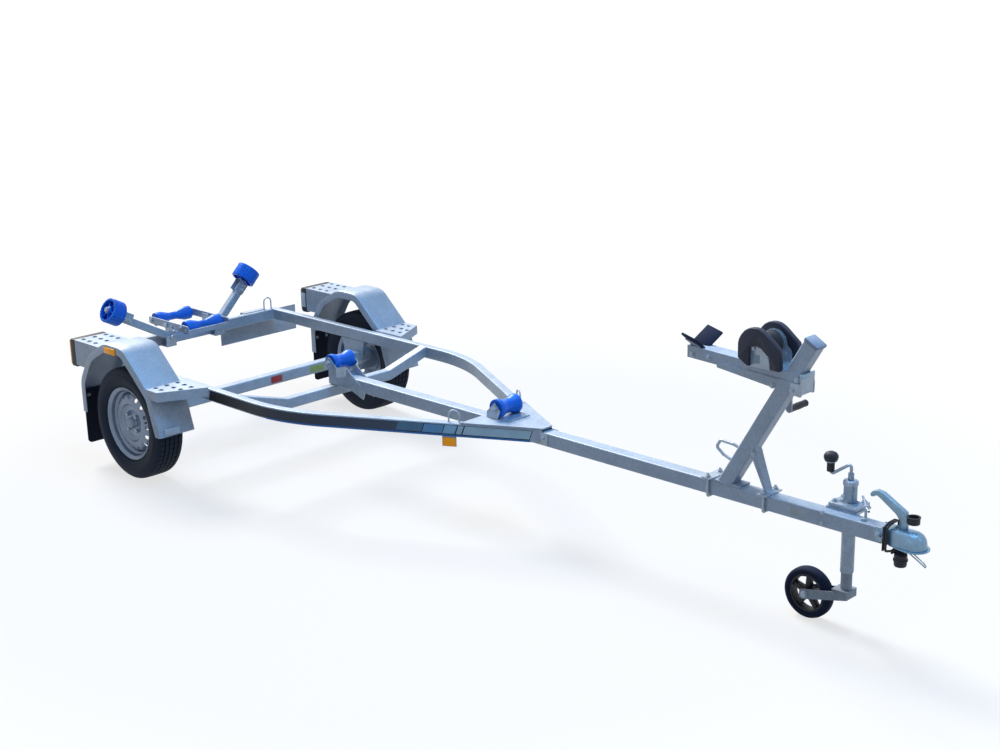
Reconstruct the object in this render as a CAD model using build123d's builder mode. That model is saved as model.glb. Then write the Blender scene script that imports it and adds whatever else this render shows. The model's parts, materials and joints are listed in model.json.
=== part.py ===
"""Boat trailer with a single torsion axle, a central drawbar, bent side rails, keel rollers, a
rocking stern cradle with swinging side rollers, a winch post and a jockey wheel.

The part stands on its tyres and its jockey wheel.  +X points forward, +Y to the left and +Z up.
Stations along the trailer are given in millimetres ahead of the axle line and turned into X by
ahead().  The origin lies on the floor, under the middle of the overall length.
"""
import os
from math import cos, hypot, radians, sin, tan

from build123d import *

os.makedirs("parts", exist_ok=True)

SIDES = {"right": -1, "left": 1}  # side: sign of Y

# ---------------------------------------------------------------- driving dimensions (mm)
# wheels
TRACK = 1446
TYRE_RADIUS = 273.5
TYRE_WIDTH = 155
RIM_FLANGE_RADIUS = 178
RIM_WIDTH = 127
DISC_OFFSET = 30          # hub face outboard of the wheel's middle plane
WHEEL_HOLES = 16
VENT_CIRCLE = 129         # radius of the circle of vent holes
VENT_RADIUS = 10
WHEEL_BOLTS = 4
BOLT_CIRCLE = 100

# frame
WALL = 3
SHEET = 3
FRAME_TOP = 489           # top of the side rails
RAIL_HEIGHT = 60
RAIL_WIDTH = 40
RAIL_Y = 580
RAIL_REAR = -427          # rear end of the rails, where the stubs of the rear crossmember start
BEND_AHEAD = 940          # corner of the rail's centre line
BEND_ANGLE = 28.2
BEND_RADIUS = 800
DRAWBAR = 60
DRAWBAR_TOP = 479
DRAWBAR_REAR = 600
DRAWBAR_FRONT = 3620
REAR_CROSS = -622         # middle of the rear crossmember
FRONT_CROSS = 628         # middle of the dropped crossmember
FRONT_CROSS_SIZE = 50
FRONT_CROSS_KINK = 321    # half width of its level middle
GUSSET_REAR = 1690
GUSSET_TIP = 2010
GUSSET_THICK = 6

# axle
AXLE_SIZE = 55
AXLE_AHEAD = 101          # beam ahead of the wheel centres: the arms trail
AXLE_Z = 343
ARM_THICK = 26
STUB_RADIUS = 17
HUB_RADIUS = 58
RUNNING = 0.4             # radial clearance of a wheel or roller on its pin

# mudguards
GUARD_WIDTH = 190
GUARD_OUTER = TRACK / 2 + 89
GUARD_INNER = GUARD_OUTER - GUARD_WIDTH
GUARD_LIP = 36
GUARD_BOTTOM = 272
GUARD_LINE = [            # (ahead of the axle, height, bend radius) along the outer surface
    (-354, GUARD_BOTTOM, 0),
    (-354, 430, 130),
    (-262, 575, 180),
    (-112, 655, 150),
    (42, 655, 100),
    (252, 466, 100),
    (312, GUARD_BOTTOM, 0),
]

# steps, lamps, flaps
FRONT_STEP_TOP = 495
FRONT_STEP_DEPTH = 46
FRONT_STEP_OUTER_X = 313
FRONT_STEP_INNER_X = 420
REAR_STEP_TOP = 629
REAR_STEP_REAR = -380
LAMP_DEPTH = 55
LAMP_HEIGHT = 138
LAMP_BOTTOM = 490
STEP_HOLE = 9
FLAP_BOTTOM = 105
FLAP_THICK = 6
PLATE_WIDTH = 520
PLATE_Y = 500             # middle of the number plate, on the left
PLATE_BOTTOM = 328
PLATE_TOP = 470

# rollers
PIN_RADIUS = 8
KEEL_RADIUS = 42
KEEL_WAIST = 30
KEEL_LENGTH = 124
KEEL_Z = 539
KEEL_FRONT = 1768
KEEL_REAR = 658
CRADLE_RADIUS = 36
CRADLE_WAIST = 21
CRADLE_LENGTH = 220
CRADLE_REACH = 140        # cradle rollers fore and aft of the rocking pin
CRADLE_NOSE = 200         # front end of the cradle's bars ahead of that pin
CRADLE_BAR_Y = 128
CRADLE_BAR = 38
CRADLE_Z = 532
CRADLE_PIN_Z = 528
ARM_TUBE = 40
ARM_PIVOT_Y = 150
ARM_PIVOT_Z = 480
ARM_ANGLES = {"right": 28.7, "left": 45.5}
DRUM_RADIUS = 65
DRUM_WIDTH = 75
DRUM_OUT = {"right": 370, "left": 326}   # middle of the side roller, along the arm from its pivot
DRUM_UP = 15              # and above the arm's centre line

# winch post
POST = 60
POST_FOOT = 2945
POST_LEAN = 30.7
POST_LENGTH = 708
BEAM_TOP = 993            # at the beam's rear end
BEAM_FALL = 2.6           # degrees that the beam falls towards its front end
BEAM_DEPTH = 47
BEAM_REAR = 2768
BEAM_FRONT = 3276
WINCH_AHEAD = 3105
WINCH_Z = 1045
CRANK_AHEAD = 3150
CRANK_Z = 1010
CRANK_ARM = 222

# jockey wheel
JACK_AHEAD = 3431
JACK_Y = 72
JACK_TUBE = 50
JACK_LEG = 42
JACK_TOP = 596
JACK_NECK = 14            # stem above the tube
JACK_TUBE_BOTTOM = 228
JOCKEY_TRAIL = 157
JOCKEY_RADIUS = 100
JOCKEY_WIDTH = 50

# coupler
BALL_AHEAD = 3737
BALL = 50
COUPLER_WALL = 4

# overall length, which puts the origin under its middle
NOSE = BALL_AHEAD + BALL / 2 + COUPLER_WALL + 25
TAIL = CRADLE_REACH + CRADLE_RADIUS - REAR_CROSS
AXLE_X = (TAIL - NOSE) / 2


def ahead(distance):
    """X of a station given ahead of the axle line."""
    return AXLE_X + distance


def save(piece, name):
    """Label a finished piece and write it."""
    piece.part.label = name
    export_step(piece.part, f"parts/{name}.step")


def tube_section(width, height, wall=WALL):
    """A rolled box section, drawn in the sketch in hand."""
    RectangleRounded(width, height, 2 * wall)
    RectangleRounded(width - 2 * wall, height - 2 * wall, wall, mode=Mode.SUBTRACT)


def beam_top(station):
    """Height of the winch beam's top, ahead of the axle."""
    return BEAM_TOP - (station - BEAM_REAR) * tan(radians(BEAM_FALL))


# ---------------------------------------------------------------- frame
rail_z = FRAME_TOP - RAIL_HEIGHT / 2
rail_end = ahead(BEND_AHEAD) + RAIL_Y / tan(radians(BEND_ANGLE))
drawbar_z = DRAWBAR_TOP - DRAWBAR / 2

with BuildPart() as rails:
    with BuildLine(Plane.XY.offset(rail_z)) as rail_path:
        FilletPolyline(
            (ahead(RAIL_REAR), RAIL_Y),
            (ahead(BEND_AHEAD), RAIL_Y),
            (rail_end, 0),
            radius=BEND_RADIUS,
        )
    with BuildSketch(Plane(rail_path.line @ 0, x_dir=(0, 1, 0), z_dir=(1, 0, 0))):
        tube_section(RAIL_WIDTH, RAIL_HEIGHT)
    sweep(path=rail_path.line)
    with Locations((rail_end, 0, rail_z)):
        Box(10 * DRAWBAR, DRAWBAR, 2 * RAIL_HEIGHT, mode=Mode.SUBTRACT)
    mirror(about=Plane.XZ)
save(rails, "rails")

with BuildPart() as drawbar:
    with BuildSketch(Plane.YZ.offset(ahead(DRAWBAR_REAR))):
        with Locations((0, drawbar_z)):
            tube_section(DRAWBAR, DRAWBAR)
    extrude(amount=DRAWBAR_FRONT - DRAWBAR_REAR)
save(drawbar, "drawbar")

with BuildPart() as rear_crossmember:
    with BuildLine(Plane.XY.offset(rail_z)) as cross_path:
        Polyline(
            (ahead(RAIL_REAR), -RAIL_Y),
            (ahead(REAR_CROSS), -RAIL_Y),
            (ahead(REAR_CROSS), RAIL_Y),
            (ahead(RAIL_REAR), RAIL_Y),
        )
    with BuildSketch(Plane(cross_path.line @ 0, x_dir=(0, 1, 0), z_dir=(-1, 0, 0))):
        tube_section(RAIL_WIDTH, RAIL_HEIGHT)
    sweep(path=cross_path.line, transition=Transition.RIGHT)
save(rear_crossmember, "rear_crossmember")

# The dropped crossmember climbs from under the drawbar to the rails.
rail_inner = RAIL_Y - RAIL_WIDTH / 2
cross_low = DRAWBAR_TOP - DRAWBAR - FRONT_CROSS_SIZE / 2
cross_high = FRAME_TOP - FRONT_CROSS_SIZE / 2 - 2
with BuildPart() as front_crossmember:
    cross_slope = (cross_high - cross_low) / (rail_inner - FRONT_CROSS_KINK)
    overshoot = RAIL_WIDTH / 2
    end_y = rail_inner + overshoot
    end_z = cross_high + overshoot * cross_slope
    with BuildLine(Plane.YZ.offset(ahead(FRONT_CROSS))) as drop_path:
        Polyline(
            (-end_y, end_z),
            (-FRONT_CROSS_KINK, cross_low),
            (FRONT_CROSS_KINK, cross_low),
            (end_y, end_z),
        )
    with BuildSketch(Plane(drop_path.line @ 0, x_dir=(1, 0, 0), z_dir=drop_path.line % 0)):
        tube_section(FRONT_CROSS_SIZE, FRONT_CROSS_SIZE)
    sweep(path=drop_path.line, transition=Transition.RIGHT)
    with Locations((ahead(FRONT_CROSS), 0, rail_z)):
        Box(2 * FRONT_CROSS_SIZE, 2 * rail_inner, 4 * RAIL_HEIGHT, mode=Mode.INTERSECT)
save(front_crossmember, "front_crossmember")

# Gusset plate over the meeting of the rails and the drawbar, cut along the rails' outer faces.
with BuildPart() as gusset_plate:
    outer_offset = RAIL_WIDTH / 2 / cos(radians(BEND_ANGLE))

    def rail_outer(station):
        """Half width over the sloping rails at a station."""
        return (rail_end - ahead(station)) * tan(radians(BEND_ANGLE)) + outer_offset

    with BuildSketch(Plane.XY.offset(FRAME_TOP)):
        with BuildLine():
            Polyline(
                (ahead(GUSSET_REAR), -rail_outer(GUSSET_REAR)),
                (ahead(GUSSET_TIP), -DRAWBAR / 2),
                (ahead(GUSSET_TIP), DRAWBAR / 2),
                (ahead(GUSSET_REAR), rail_outer(GUSSET_REAR)),
                close=True,
            )
        make_face()
    extrude(amount=GUSSET_THICK)
save(gusset_plate, "gusset_plate")

# ---------------------------------------------------------------- axle
with BuildPart() as axle_beam:
    with BuildSketch(Plane.XZ):
        with Locations((ahead(AXLE_AHEAD), AXLE_Z)):
            tube_section(AXLE_SIZE, AXLE_SIZE, 4)
    extrude(amount=GUARD_INNER - 14, both=True)
save(axle_beam, "axle_beam")

# Folded brackets that carry the axle under the rails.
BRACKET_LENGTH = 180
BRACKET_PLATE = 6
with BuildPart() as axle_brackets:
    rail_bottom = FRAME_TOP - RAIL_HEIGHT
    bracket_x = ahead(AXLE_AHEAD) - 25
    web_bottom = AXLE_Z - AXLE_SIZE / 2 - 12
    with Locations((bracket_x, RAIL_Y, rail_bottom - BRACKET_PLATE / 2)):
        Box(BRACKET_LENGTH, RAIL_WIDTH, BRACKET_PLATE)
    with BuildSketch(Plane.XZ.offset(-rail_inner)):
        with BuildLine():
            Polyline(
                (bracket_x - BRACKET_LENGTH / 2, rail_bottom),
                (bracket_x + BRACKET_LENGTH / 2, rail_bottom),
                (ahead(AXLE_AHEAD) + AXLE_SIZE / 2 + 10, web_bottom),
                (ahead(AXLE_AHEAD) - AXLE_SIZE / 2 - 40, web_bottom),
                close=True,
            )
        make_face()
        with Locations((ahead(AXLE_AHEAD), AXLE_Z)):
            RectangleRounded(AXLE_SIZE, AXLE_SIZE, 8, mode=Mode.SUBTRACT)
    extrude(amount=-BRACKET_PLATE)
    mirror(about=Plane.XZ)
save(axle_brackets, "axle_brackets")

# Trailing arms outside the rails, each with its stub axle.
wheel_y = TRACK / 2
hub_face = wheel_y + DISC_OFFSET
arm_inner = GUARD_INNER - 14
with BuildPart() as axle_arms:
    with BuildSketch(Plane.XZ.offset(-arm_inner)):
        with Locations((ahead(AXLE_AHEAD), AXLE_Z)):
            Circle(36)
        with Locations((ahead(0), TYRE_RADIUS)):
            Circle(30)
        with BuildLine():
            Polyline(
                (ahead(AXLE_AHEAD) + 20, AXLE_Z - 30),
                (ahead(AXLE_AHEAD) - 20, AXLE_Z + 30),
                (ahead(0) - 17, TYRE_RADIUS + 24),
                (ahead(0) + 17, TYRE_RADIUS - 24),
                close=True,
            )
        make_face()
    extrude(amount=-ARM_THICK)
    with BuildSketch(Plane.XZ.offset(-arm_inner - ARM_THICK)):
        with Locations((ahead(0), TYRE_RADIUS)):
            Circle(STUB_RADIUS)
    extrude(amount=-(hub_face + 8 - arm_inner - ARM_THICK))
    mirror(about=Plane.XZ)
save(axle_arms, "axle_arms")

# ---------------------------------------------------------------- wheels
half_tyre = TYRE_WIDTH / 2
half_rim = RIM_WIDTH / 2
bead = RIM_FLANGE_RADIUS - 14
RIM_METAL = 3.5
for side, sign in SIDES.items():
    wheel_plane = Plane((ahead(0), sign * wheel_y, TYRE_RADIUS), x_dir=(1, 0, 0), z_dir=(0, sign, 0))

    # Profiles are drawn as (radius, distance outboard) and turned about the wheel's axis.
    profile_plane = Plane(wheel_plane.origin, x_dir=(1, 0, 0), z_dir=(0, 0, sign))
    with BuildPart() as tyre:
        with BuildSketch(profile_plane):
            with BuildLine():
                Polyline(
                    (bead + 0.3, -half_rim + 8),
                    (bead + 0.3, half_rim - 8),
                    (RIM_FLANGE_RADIUS + 4, half_rim - 4),
                    (RIM_FLANGE_RADIUS + 8, half_rim + 3),
                    (TYRE_RADIUS - 52, half_tyre),
                    (TYRE_RADIUS - 32, half_tyre - 3),
                    (TYRE_RADIUS - 4, half_tyre - 14),
                    (TYRE_RADIUS, half_tyre - 30),
                    (TYRE_RADIUS, -half_tyre + 30),
                    (TYRE_RADIUS - 4, -half_tyre + 14),
                    (TYRE_RADIUS - 32, -half_tyre + 3),
                    (TYRE_RADIUS - 52, -half_tyre),
                    (RIM_FLANGE_RADIUS + 8, -half_rim - 3),
                    (RIM_FLANGE_RADIUS + 4, -half_rim + 4),
                    close=True,
                )
            make_face()
        revolve(axis=Axis(wheel_plane.origin, (0, sign, 0)))
    save(tyre, f"tyre_{side}")

    with BuildPart() as rim:
        with BuildSketch(profile_plane):
            with BuildLine():
                Polyline(
                    (RIM_FLANGE_RADIUS, half_rim),
                    (RIM_FLANGE_RADIUS, half_rim - RIM_METAL),
                    (bead, half_rim - 8),
                    (bead, 28),
                    (bead - 16, 20),
                    (bead - 16, -20),
                    (bead, -28),
                    (bead, -half_rim + 8),
                    (RIM_FLANGE_RADIUS, -half_rim + RIM_METAL),
                    (RIM_FLANGE_RADIUS, -half_rim),
                    (bead - RIM_METAL, -half_rim),
                    (bead - RIM_METAL, -31),
                    (bead - 16 - RIM_METAL, -23),
                    (bead - 16 - RIM_METAL, 10),
                    (bead - 28, 34),
                    (bead - 44, 45),
                    (bead - 62, 47),
                    (78, DISC_OFFSET + 2),
                    (70, DISC_OFFSET),
                    (30, DISC_OFFSET),
                    (30, DISC_OFFSET + RIM_METAL),
                    (68, DISC_OFFSET + RIM_METAL),
                    (76, DISC_OFFSET + RIM_METAL + 3),
                    (bead - 64, 47 + RIM_METAL),
                    (bead - 42, 45 + RIM_METAL),
                    (bead - 25, 36),
                    (bead - 16 - RIM_METAL, 23),
                    (bead - RIM_METAL, 31),
                    (bead - RIM_METAL, half_rim),
                    close=True,
                )
            make_face()
        revolve(axis=Axis(wheel_plane.origin, (0, sign, 0)))
        with BuildSketch(wheel_plane.offset(half_rim)):
            with PolarLocations(VENT_CIRCLE, WHEEL_HOLES):
                Circle(VENT_RADIUS)
        extrude(amount=-60, mode=Mode.SUBTRACT)
    save(rim, f"rim_{side}")

    with BuildPart() as hub:
        with BuildSketch(profile_plane):
            with BuildLine():
                Polyline(
                    (STUB_RADIUS + RUNNING, arm_inner + ARM_THICK + 5 - wheel_y),
                    (HUB_RADIUS - 14, arm_inner + ARM_THICK + 5 - wheel_y),
                    (HUB_RADIUS - 8, DISC_OFFSET - 12),
                    (HUB_RADIUS + 8, DISC_OFFSET - 12),
                    (HUB_RADIUS + 8, DISC_OFFSET),
                    (29.5, DISC_OFFSET),
                    (29.5, DISC_OFFSET + 14),
                    (24, DISC_OFFSET + 30),
                    (0, DISC_OFFSET + 32),
                    (0, DISC_OFFSET + 10),
                    (STUB_RADIUS + RUNNING, DISC_OFFSET + 10),
                    close=True,
                )
            make_face()
        revolve(axis=Axis(wheel_plane.origin, (0, sign, 0)))
        with BuildSketch(wheel_plane.offset(DISC_OFFSET + RIM_METAL)):
            with PolarLocations(BOLT_CIRCLE / 2, WHEEL_BOLTS):
                RegularPolygon(9, 6)
        extrude(amount=12)
    save(hub, f"hub_{side}")


# ---------------------------------------------------------------- mudguards, steps, lamps, flaps
def guard_shape(grow=0):
    """Everything under the mudguard's outer line, as a face in the side view."""
    points = [(ahead(d), z) for d, z, r in GUARD_LINE]
    with BuildLine() as outline:
        guard_line = FilletPolyline(*points, radius=[r for d, z, r in GUARD_LINE[1:-1]])
        Polyline(
            guard_line @ 0,
            (points[0][0], GUARD_BOTTOM - 200),
            (points[-1][0], GUARD_BOTTOM - 200),
            guard_line @ 1,
        )
    make_face(outline.edges())
    if grow:
        offset(amount=grow)


def cut_below_guard():
    """Take away what lies under the mudguard's bottom edge."""
    with Locations((ahead(0), GUARD_BOTTOM)):
        Rectangle(2000, 1000, align=(Align.CENTER, Align.MAX), mode=Mode.SUBTRACT)


with BuildPart() as mudguards:
    for start, width, depth in [
        (GUARD_INNER, GUARD_OUTER - GUARD_INNER, SHEET),      # the arched sheet
        (GUARD_INNER, SHEET, GUARD_LIP),                      # inner lip
        (GUARD_OUTER - SHEET, SHEET, GUARD_LIP),              # outer lip
    ]:
        with BuildSketch(Plane.XZ.offset(start)):
            guard_shape()
            offset(amount=-depth, mode=Mode.SUBTRACT)
            cut_below_guard()
        extrude(amount=width)
    mirror(about=Plane.XZ)
save(mudguards, "mudguards")

FRONT_STEP_HOLES = [      # (ahead of the axle, distance out from the middle)
    (245, 650), (300, 650), (355, 650), (245, 710), (300, 710), (350, 705), (245, 770), (290, 770),
]
rail_outer_y = RAIL_Y + RAIL_WIDTH / 2
with BuildPart() as front_steps:
    with BuildSketch(Plane.XY.offset(FRONT_STEP_TOP)):
        with BuildLine():
            Polyline(
                (ahead(150), -rail_outer_y),
                (ahead(FRONT_STEP_INNER_X), -rail_outer_y),
                (ahead(FRONT_STEP_OUTER_X), -GUARD_OUTER),
                (ahead(150), -GUARD_OUTER),
                close=True,
            )
        make_face()
    extrude(amount=-FRONT_STEP_DEPTH)
    step_faces = front_steps.faces()
    open_faces = [step_faces.sort_by(Axis.Z)[0], step_faces.sort_by(Axis.X)[0]]
    offset(amount=-SHEET, openings=open_faces)
    with BuildSketch(Plane.XZ.offset(rail_outer_y - 5)):
        guard_shape(0.3)
    extrude(amount=GUARD_OUTER, mode=Mode.SUBTRACT)
    for hole_ahead, hole_y in FRONT_STEP_HOLES:
        with Locations((ahead(hole_ahead), -hole_y, FRONT_STEP_TOP)):
            Cylinder(STEP_HOLE, 4 * SHEET, mode=Mode.SUBTRACT)
    mirror(about=Plane.XZ)
save(front_steps, "front_steps")

REAR_STEP_HOLES = [       # (ahead of the axle, distance out from the middle)
    (-350, 655), (-295, 655), (-240, 655), (-350, 717), (-295, 717), (-240, 717),
    (-350, 779), (-295, 779), (-240, 779),
]
with BuildPart() as rear_steps:
    with BuildSketch(Plane.XZ.offset(GUARD_INNER)):
        with BuildLine():
            Polyline(
                (ahead(REAR_STEP_REAR), REAR_STEP_TOP),
                (ahead(-120), REAR_STEP_TOP),
                (ahead(-120), REAR_STEP_TOP - 20),
                (ahead(-300), LAMP_BOTTOM + 12),
                (ahead(REAR_STEP_REAR), LAMP_BOTTOM + 12),
                close=True,
            )
        make_face()
    extrude(amount=GUARD_OUTER - GUARD_INNER)
    step_faces = rear_steps.faces().filter_by(lambda f: f.normal_at().Z < -0.1 or f.normal_at().X > 0.9)
    offset(amount=-SHEET, openings=step_faces)
    with BuildSketch(Plane.XZ.offset(GUARD_INNER - 5)):
        guard_shape(0.3)
    extrude(amount=GUARD_OUTER, mode=Mode.SUBTRACT)
    for hole_ahead, hole_y in REAR_STEP_HOLES:
        with Locations((ahead(hole_ahead), -hole_y, REAR_STEP_TOP)):
            Cylinder(STEP_HOLE, 4 * SHEET, mode=Mode.SUBTRACT)
    mirror(about=Plane.XZ)
save(rear_steps, "rear_steps")

guard_y = (GUARD_INNER + GUARD_OUTER) / 2
with BuildPart() as tail_lamps:
    with Locations((ahead(REAR_STEP_REAR) - LAMP_DEPTH / 2, -guard_y, LAMP_BOTTOM + LAMP_HEIGHT / 2)):
        Box(LAMP_DEPTH, GUARD_OUTER - GUARD_INNER, LAMP_HEIGHT)
    fillet(tail_lamps.edges().filter_by(Axis.X), radius=12)
    fillet(tail_lamps.faces().sort_by(Axis.X)[0].edges(), radius=6)
    mirror(about=Plane.XZ)
save(tail_lamps, "tail_lamps")

with BuildPart() as mud_flaps:
    flap_x = ahead(GUARD_LINE[0][0]) + SHEET + FLAP_THICK / 2
    flap_top = GUARD_BOTTOM + 110
    with Locations((flap_x, -guard_y, (FLAP_BOTTOM + flap_top) / 2)):
        Box(FLAP_THICK, GUARD_OUTER - GUARD_INNER - 2 * SHEET - 4, flap_top - FLAP_BOTTOM)
    fillet(mud_flaps.edges().filter_by(Axis.X).group_by(Axis.Z)[0], radius=20)
    mirror(about=Plane.XZ)
save(mud_flaps, "mud_flaps")

# Amber reflectors: on the mudguards' outer lips, and hung under the sloping rails.
HUNG_REFLECTOR = 1662
with BuildPart() as side_reflectors:
    with Locations((ahead(-54), -GUARD_OUTER - 4, 630)):
        Box(90, 8, 38)
    hung_x = ahead(HUNG_REFLECTOR)
    hung_y = (rail_end - hung_x) * tan(radians(BEND_ANGLE))
    with BuildSketch(Plane.XY.offset(FRAME_TOP - RAIL_HEIGHT)):
        with Locations(Location((hung_x, -hung_y, 0), (0, 0, 1), BEND_ANGLE)):
            with Locations((0, -RAIL_WIDTH / 2 + 5)):
                Rectangle(60, 8)
    extrude(amount=-46)
    mirror(about=Plane.XZ)
save(side_reflectors, "side_reflectors")

# Number plate carrier behind the rear crossmember, hung from a bent plate over its top.
cross_top = FRAME_TOP
cross_rear = ahead(REAR_CROSS) - RAIL_WIDTH / 2
plate_x = cross_rear - 26
with BuildPart() as plate_carrier:
    with Locations((plate_x, PLATE_Y, (PLATE_BOTTOM + PLATE_TOP) / 2)):
        Box(SHEET, PLATE_WIDTH, PLATE_TOP - PLATE_BOTTOM)
    with Locations((plate_x + SHEET, PLATE_Y - 50, (PLATE_TOP - 50 + cross_top + 4) / 2)):
        Box(SHEET, 146, cross_top + 4 - (PLATE_TOP - 50))
    with Locations((plate_x + SHEET / 2, PLATE_Y - 50, cross_top + 2)):
        Box(cross_rear + 14 - plate_x, 146, 4, align=(Align.MIN, Align.CENTER, Align.CENTER))
save(plate_carrier, "plate_carrier")


# ---------------------------------------------------------------- rollers
def bobbin_outline(length, radius, waist):
    """Half section of a waisted roller as (radius, place along the axle)."""
    half = length / 2
    bore = PIN_RADIUS + RUNNING
    with BuildLine() as outline:
        Polyline(
            (bore, -half),
            (radius - 5, -half),
            (radius, -half + 5),
            (radius, -half * 0.6),
            (waist, -half * 0.2),
            (waist, half * 0.2),
            (radius, half * 0.6),
            (radius, half - 5),
            (radius - 5, half),
            (bore, half),
            close=True,
        )
    make_face(outline.edges())


ROLLERS = [               # (name, ahead of the axle, height, length, end radius, waist radius)
    ("keel_roller_front", KEEL_FRONT, KEEL_Z, KEEL_LENGTH, KEEL_RADIUS, KEEL_WAIST),
    ("keel_roller_rear", KEEL_REAR, KEEL_Z, KEEL_LENGTH, KEEL_RADIUS, KEEL_WAIST),
    ("cradle_roller_front", REAR_CROSS + CRADLE_REACH, CRADLE_Z, CRADLE_LENGTH, CRADLE_RADIUS, CRADLE_WAIST),
    ("cradle_roller_rear", REAR_CROSS - CRADLE_REACH, CRADLE_Z, CRADLE_LENGTH, CRADLE_RADIUS, CRADLE_WAIST),
]
for name, station, height, length, radius, waist in ROLLERS:
    roller_plane = Plane((ahead(station), 0, height), x_dir=(1, 0, 0), z_dir=(0, 0, -1))
    with BuildPart() as roller:
        with BuildSketch(roller_plane):
            bobbin_outline(length, radius, waist)
        revolve(axis=Axis(roller_plane.origin, (0, 1, 0)))
    save(roller, name)

# Keel roller brackets: a base strap under the roller with an ear up each side of it.  The rear
# bracket's ears step in to the drawbar and run on past it as wings.
EAR = 5
SIDE_GAP = 3              # between a roller's end and its ear
ear_y = KEEL_LENGTH / 2 + SIDE_GAP
front_seat = FRAME_TOP + GUSSET_THICK
STEP_AHEAD = 49           # fold of the rear bracket's ears, ahead of the roller
WING_AHEAD = 80           # and where they meet the drawbar's sides
FRONT_EAR = [             # (ahead of the roller, above its axle)
    (-50, front_seat - KEEL_Z), (-48, -16), (-3, 28), (31, -4), (14, front_seat - KEEL_Z),
]
REAR_EAR = [
    (2, DRAWBAR_TOP - KEEL_Z), (0, -47), (-33, 2), (-12, 26), (5, 26), (STEP_AHEAD, -12),
    (STEP_AHEAD, DRAWBAR_TOP - KEEL_Z),
]
REAR_WING = [
    (WING_AHEAD - 5, -14), (WING_AHEAD + 6, -20), (WING_AHEAD + 133, -107), (WING_AHEAD + 118, -150),
    (WING_AHEAD + 44, -125), (WING_AHEAD - 5, DRAWBAR_TOP - 30 - KEEL_Z),
]
with BuildPart() as keel_brackets:
    for station, plane_y, plate in [
        (KEEL_FRONT, ear_y, FRONT_EAR), (KEEL_REAR, ear_y, REAR_EAR), (KEEL_REAR, DRAWBAR / 2, REAR_WING),
    ]:
        with BuildSketch(Plane.XZ.offset(plane_y)):
            with BuildLine():
                Polyline(*[(ahead(station + along), KEEL_Z + up) for along, up in plate], close=True)
            make_face()
        extrude(amount=EAR)
    # the fold between an ear and its wing
    fold_x = ahead(KEEL_REAR)
    with BuildSketch(Plane.XY.offset(DRAWBAR_TOP)):
        with BuildLine():
            Polyline(
                (fold_x + STEP_AHEAD - EAR, -ear_y),
                (fold_x + STEP_AHEAD - 1, -ear_y - EAR),
                (fold_x + WING_AHEAD + 1, -DRAWBAR / 2 - EAR),
                (fold_x + WING_AHEAD - 3, -DRAWBAR / 2),
                close=True,
            )
        make_face()
    extrude(amount=KEEL_Z - 13 - DRAWBAR_TOP)
    mirror(about=Plane.XZ)
    for station, seat, rear, front in [
        (KEEL_FRONT, front_seat, -50, 78), (KEEL_REAR, DRAWBAR_TOP, 2, WING_AHEAD - 4),
    ]:
        x = ahead(station)
        with Locations((x + (rear + front) / 2, 0, seat + EAR / 2)):
            Box(front - rear, 2 * (ear_y if station == KEEL_FRONT else DRAWBAR / 2), EAR)
        with Locations((x + (rear + STEP_AHEAD) / 2, 0, seat + EAR / 2)):
            Box(STEP_AHEAD - rear, 2 * ear_y + EAR, EAR)
        with Locations(Plane((x, 0, KEEL_Z), z_dir=(0, 1, 0))):
            Cylinder(KEEL_RADIUS + 5, 2 * ear_y, mode=Mode.SUBTRACT)
            Cylinder(PIN_RADIUS, 2 * (ear_y + EAR + 10))
save(keel_brackets, "keel_brackets")

# ---------------------------------------------------------------- stern cradle and side arms
cross_x = ahead(REAR_CROSS)
cross_front = cross_x + RAIL_WIDTH / 2
PLATE = 5
PIVOT_PIN = 6
ear_inner = CRADLE_BAR_Y - 3 - 4 - 6
arm_x = cross_front + PLATE + 1.5 + ARM_TUBE / 2
with BuildPart() as stern_mount:
    # ears of the rocking cradle, with their pins
    with BuildSketch(Plane.XZ.offset(ear_inner)):
        with Locations((cross_x, (FRAME_TOP + CRADLE_PIN_Z + 16) / 2)):
            RectangleRounded(60, CRADLE_PIN_Z + 16 - FRAME_TOP, 8)
    extrude(amount=6)
    with Locations((cross_x, -ear_inner + 12, FRAME_TOP + 3)):
        Box(60 - 16, 30, 6)
    with BuildSketch(Plane.XZ.offset(ear_inner + 5)):
        with Locations((cross_x, CRADLE_PIN_Z)):
            Circle(PIN_RADIUS)
    extrude(amount=CRADLE_BAR_Y + 8 - ear_inner - 5)
    # clamp channels of the side arms on the crossmember's front face
    channel_y = ARM_PIVOT_Y + 4
    with Locations((cross_front + PLATE / 2, -channel_y, rail_z)):
        Box(PLATE, 60, RAIL_HEIGHT)
    front_plate_x = arm_x + ARM_TUBE / 2 + 1.5 + PLATE / 2
    with Locations((front_plate_x, -channel_y, rail_z)):
        Box(PLATE, 60, RAIL_HEIGHT)
    with Locations(((cross_front + front_plate_x) / 2, -channel_y, rail_z - RAIL_HEIGHT / 2 + PLATE / 2)):
        Box(front_plate_x - cross_front, 60, PLATE)
    with BuildSketch(Plane.YZ.offset(cross_front + PLATE - 1)):
        with Locations((-ARM_PIVOT_Y, ARM_PIVOT_Z)):
            Circle(PIVOT_PIN)
    extrude(amount=front_plate_x + PLATE / 2 + 8 - cross_front - PLATE)
    mirror(about=Plane.XZ)
save(stern_mount, "stern_mount")

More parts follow.
